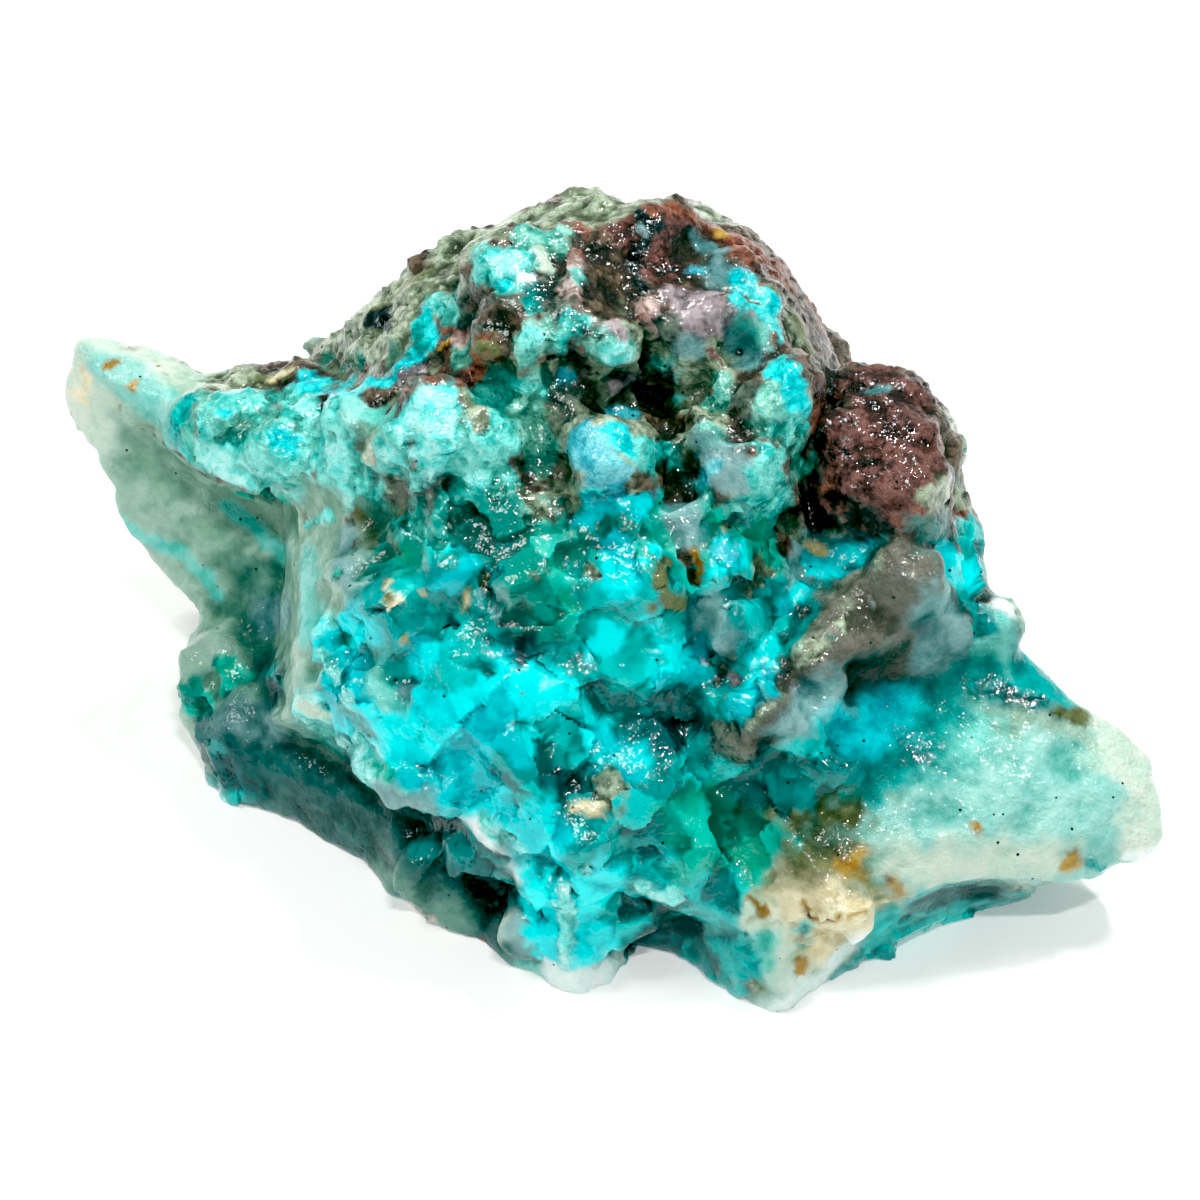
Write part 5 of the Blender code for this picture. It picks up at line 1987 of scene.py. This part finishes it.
    def film(self, bench: Bench, noise: dict[str, Socket]) -> Socket:
        """Normal of the film of water, which bridges the finest relief and ripples a little.

        Args:
            bench: The material under work.
            noise: The noises by name.

        Returns:
            The normal.
        """
        turned = add_node(
            bench.material,
            "VectorTransform",
            {"Vector": bench.held("film", "Vector")},
            vector_type="NORMAL",
            convert_from="OBJECT",
            convert_to="WORLD",
        ).outputs[0]
        water = bench.worked("MULTIPLY_ADD", noise["grain"], self.fine_weight, noise["film"])
        return bench.bump(water, self.film_bump_mm, Normal=turned)


class Lamp(NamedTuple):
    """A soft box: its place and its width and length in metres, and its power in watts."""

    name: str
    place: tuple[float, float, float]
    width: float
    length: float
    watts: float

    def hang(self, target: Vector) -> None:
        """Hangs the lamp up and aims it.

        Args:
            target: Place that it shines at, in metres.
        """
        lamp = bpy.data.lights.new(self.name, "AREA")
        lamp.shape = "RECTANGLE"
        lamp.size, lamp.size_y = self.width, self.length
        lamp.energy = self.watts
        holder = bpy.data.objects.new(self.name, lamp)
        bpy.context.scene.collection.objects.link(holder)
        holder.location = self.place
        holder.rotation_mode = "QUATERNION"
        holder.rotation_quaternion = (target - Vector(self.place)).to_track_quat("-Z", "Y")


@dataclass
class Studio:
    """Pale floor, soft light and the camera."""

    floor_m: float = 3.0
    floor_drop_mm: float = 0.02
    floor_colour: str = "#EAEAE8"
    floor_roughness: float = 0.9
    floor_shine: float = 0.28
    sky_strength: float = 0.26
    aim: tuple[float, float, float] = (0, 0, 0.01)
    lamps: tuple[Lamp, ...] = (
        Lamp("left_box", (-0.24, -0.02, 0.40), 0.12, 0.12, 0.7),
        Lamp("right_box", (0.20, 0.10, 0.42), 0.08, 0.013, 0.88),
        Lamp("back_box", (0.0, 0.30, 0.40), 0.08, 0.013, 0.88),
        Lamp("front_box", (0.05, -0.22, 0.42), 0.07, 0.012, 0.8),
    )
    sensor_mm: float = 36.0
    veil: tuple[float, float, float] = (0.04, 0.018, 0.02)

    def build(self) -> None:
        """Sets the whole studio up."""
        self.lay_floor()
        self.light_up()
        self.set_camera()
        self.set_view()

    def lay_floor(self) -> None:
        """Lays a plain pale floor."""
        bpy.ops.object.select_all(action="DESELECT")
        bpy.ops.mesh.primitive_plane_add(
            size=self.floor_m, location=(0, 0, -self.floor_drop_mm * MM)
        )
        floor = bpy.context.object
        floor.name = "floor"
        material = bpy.data.materials.new("pale_floor")
        material.use_nodes = True
        shader = material.node_tree.nodes["Principled BSDF"]
        shader.inputs["Base Color"].default_value = linear(self.floor_colour)
        shader.inputs["Roughness"].default_value = self.floor_roughness
        shader.inputs["Emission Color"].default_value = WHITE
        shader.inputs["Emission Strength"].default_value = self.floor_shine
        floor.data.materials.append(material)
        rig.stage(floor)

    def light_up(self) -> None:
        """Adds a white sky and the soft boxes, which glint on the water."""
        world = bpy.data.worlds.new("white_sky")
        world.use_nodes = True
        background = world.node_tree.nodes["Background"]
        background.inputs["Color"].default_value = WHITE
        background.inputs["Strength"].default_value = self.sky_strength
        bpy.context.scene.world = world
        for lamp in self.lamps:
            lamp.hang(Vector(self.aim))

    def set_camera(self) -> None:
        """Puts the camera where the picture was taken from."""
        data = bpy.data.cameras.new("camera")
        data.sensor_width = self.sensor_mm
        data.sensor_fit = "HORIZONTAL"
        picture_mm = 2 * SIGHT.middle_px / SIGHT.pixels_per_mm
        data.lens = SIGHT.distance * self.sensor_mm / picture_mm
        data.clip_start = 0.01
        data.clip_end = 10.0
        camera = bpy.data.objects.new("camera", data)
        bpy.context.scene.collection.objects.link(camera)
        camera.location = SIGHT.eye() * MM
        camera.rotation_mode = "QUATERNION"
        camera.rotation_quaternion = SIGHT.forward().to_track_quat("-Z", "Y")
        bpy.context.scene.camera = camera

    def set_view(self) -> None:
        """Takes the faint veil of stray light out of the picture."""
        view = bpy.context.scene.view_settings
        view.view_transform = "Standard"
        view.use_curve_mapping = True
        view.curve_mapping.black_level = self.veil


def write_sizes() -> None:
    """Writes the plain solid's box and the dressed stone's box."""
    boxes = {"cad": CAD_BOX, "visual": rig.bounds()}
    with open(SIZE_FILE, "w") as file:
        json.dump({name: [list(corner) for corner in box] for name, box in boxes.items()}, file)


def main() -> None:
    """Builds the stone's looks and the studio."""
    logging.basicConfig(level=logging.INFO, format="%(message)s")
    skin = Skin()
    piece = skin.build()
    piece.data.materials.append(WetBrokenMineral().make())
    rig.ride(piece, "root")
    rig.replaces(piece, NODE)
    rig.slot(piece, "stone")
    log.info("%s: %d triangles", piece.name, skin.triangles())
    Studio().build()
    write_sizes()


if __name__ == "__main__":
    main()
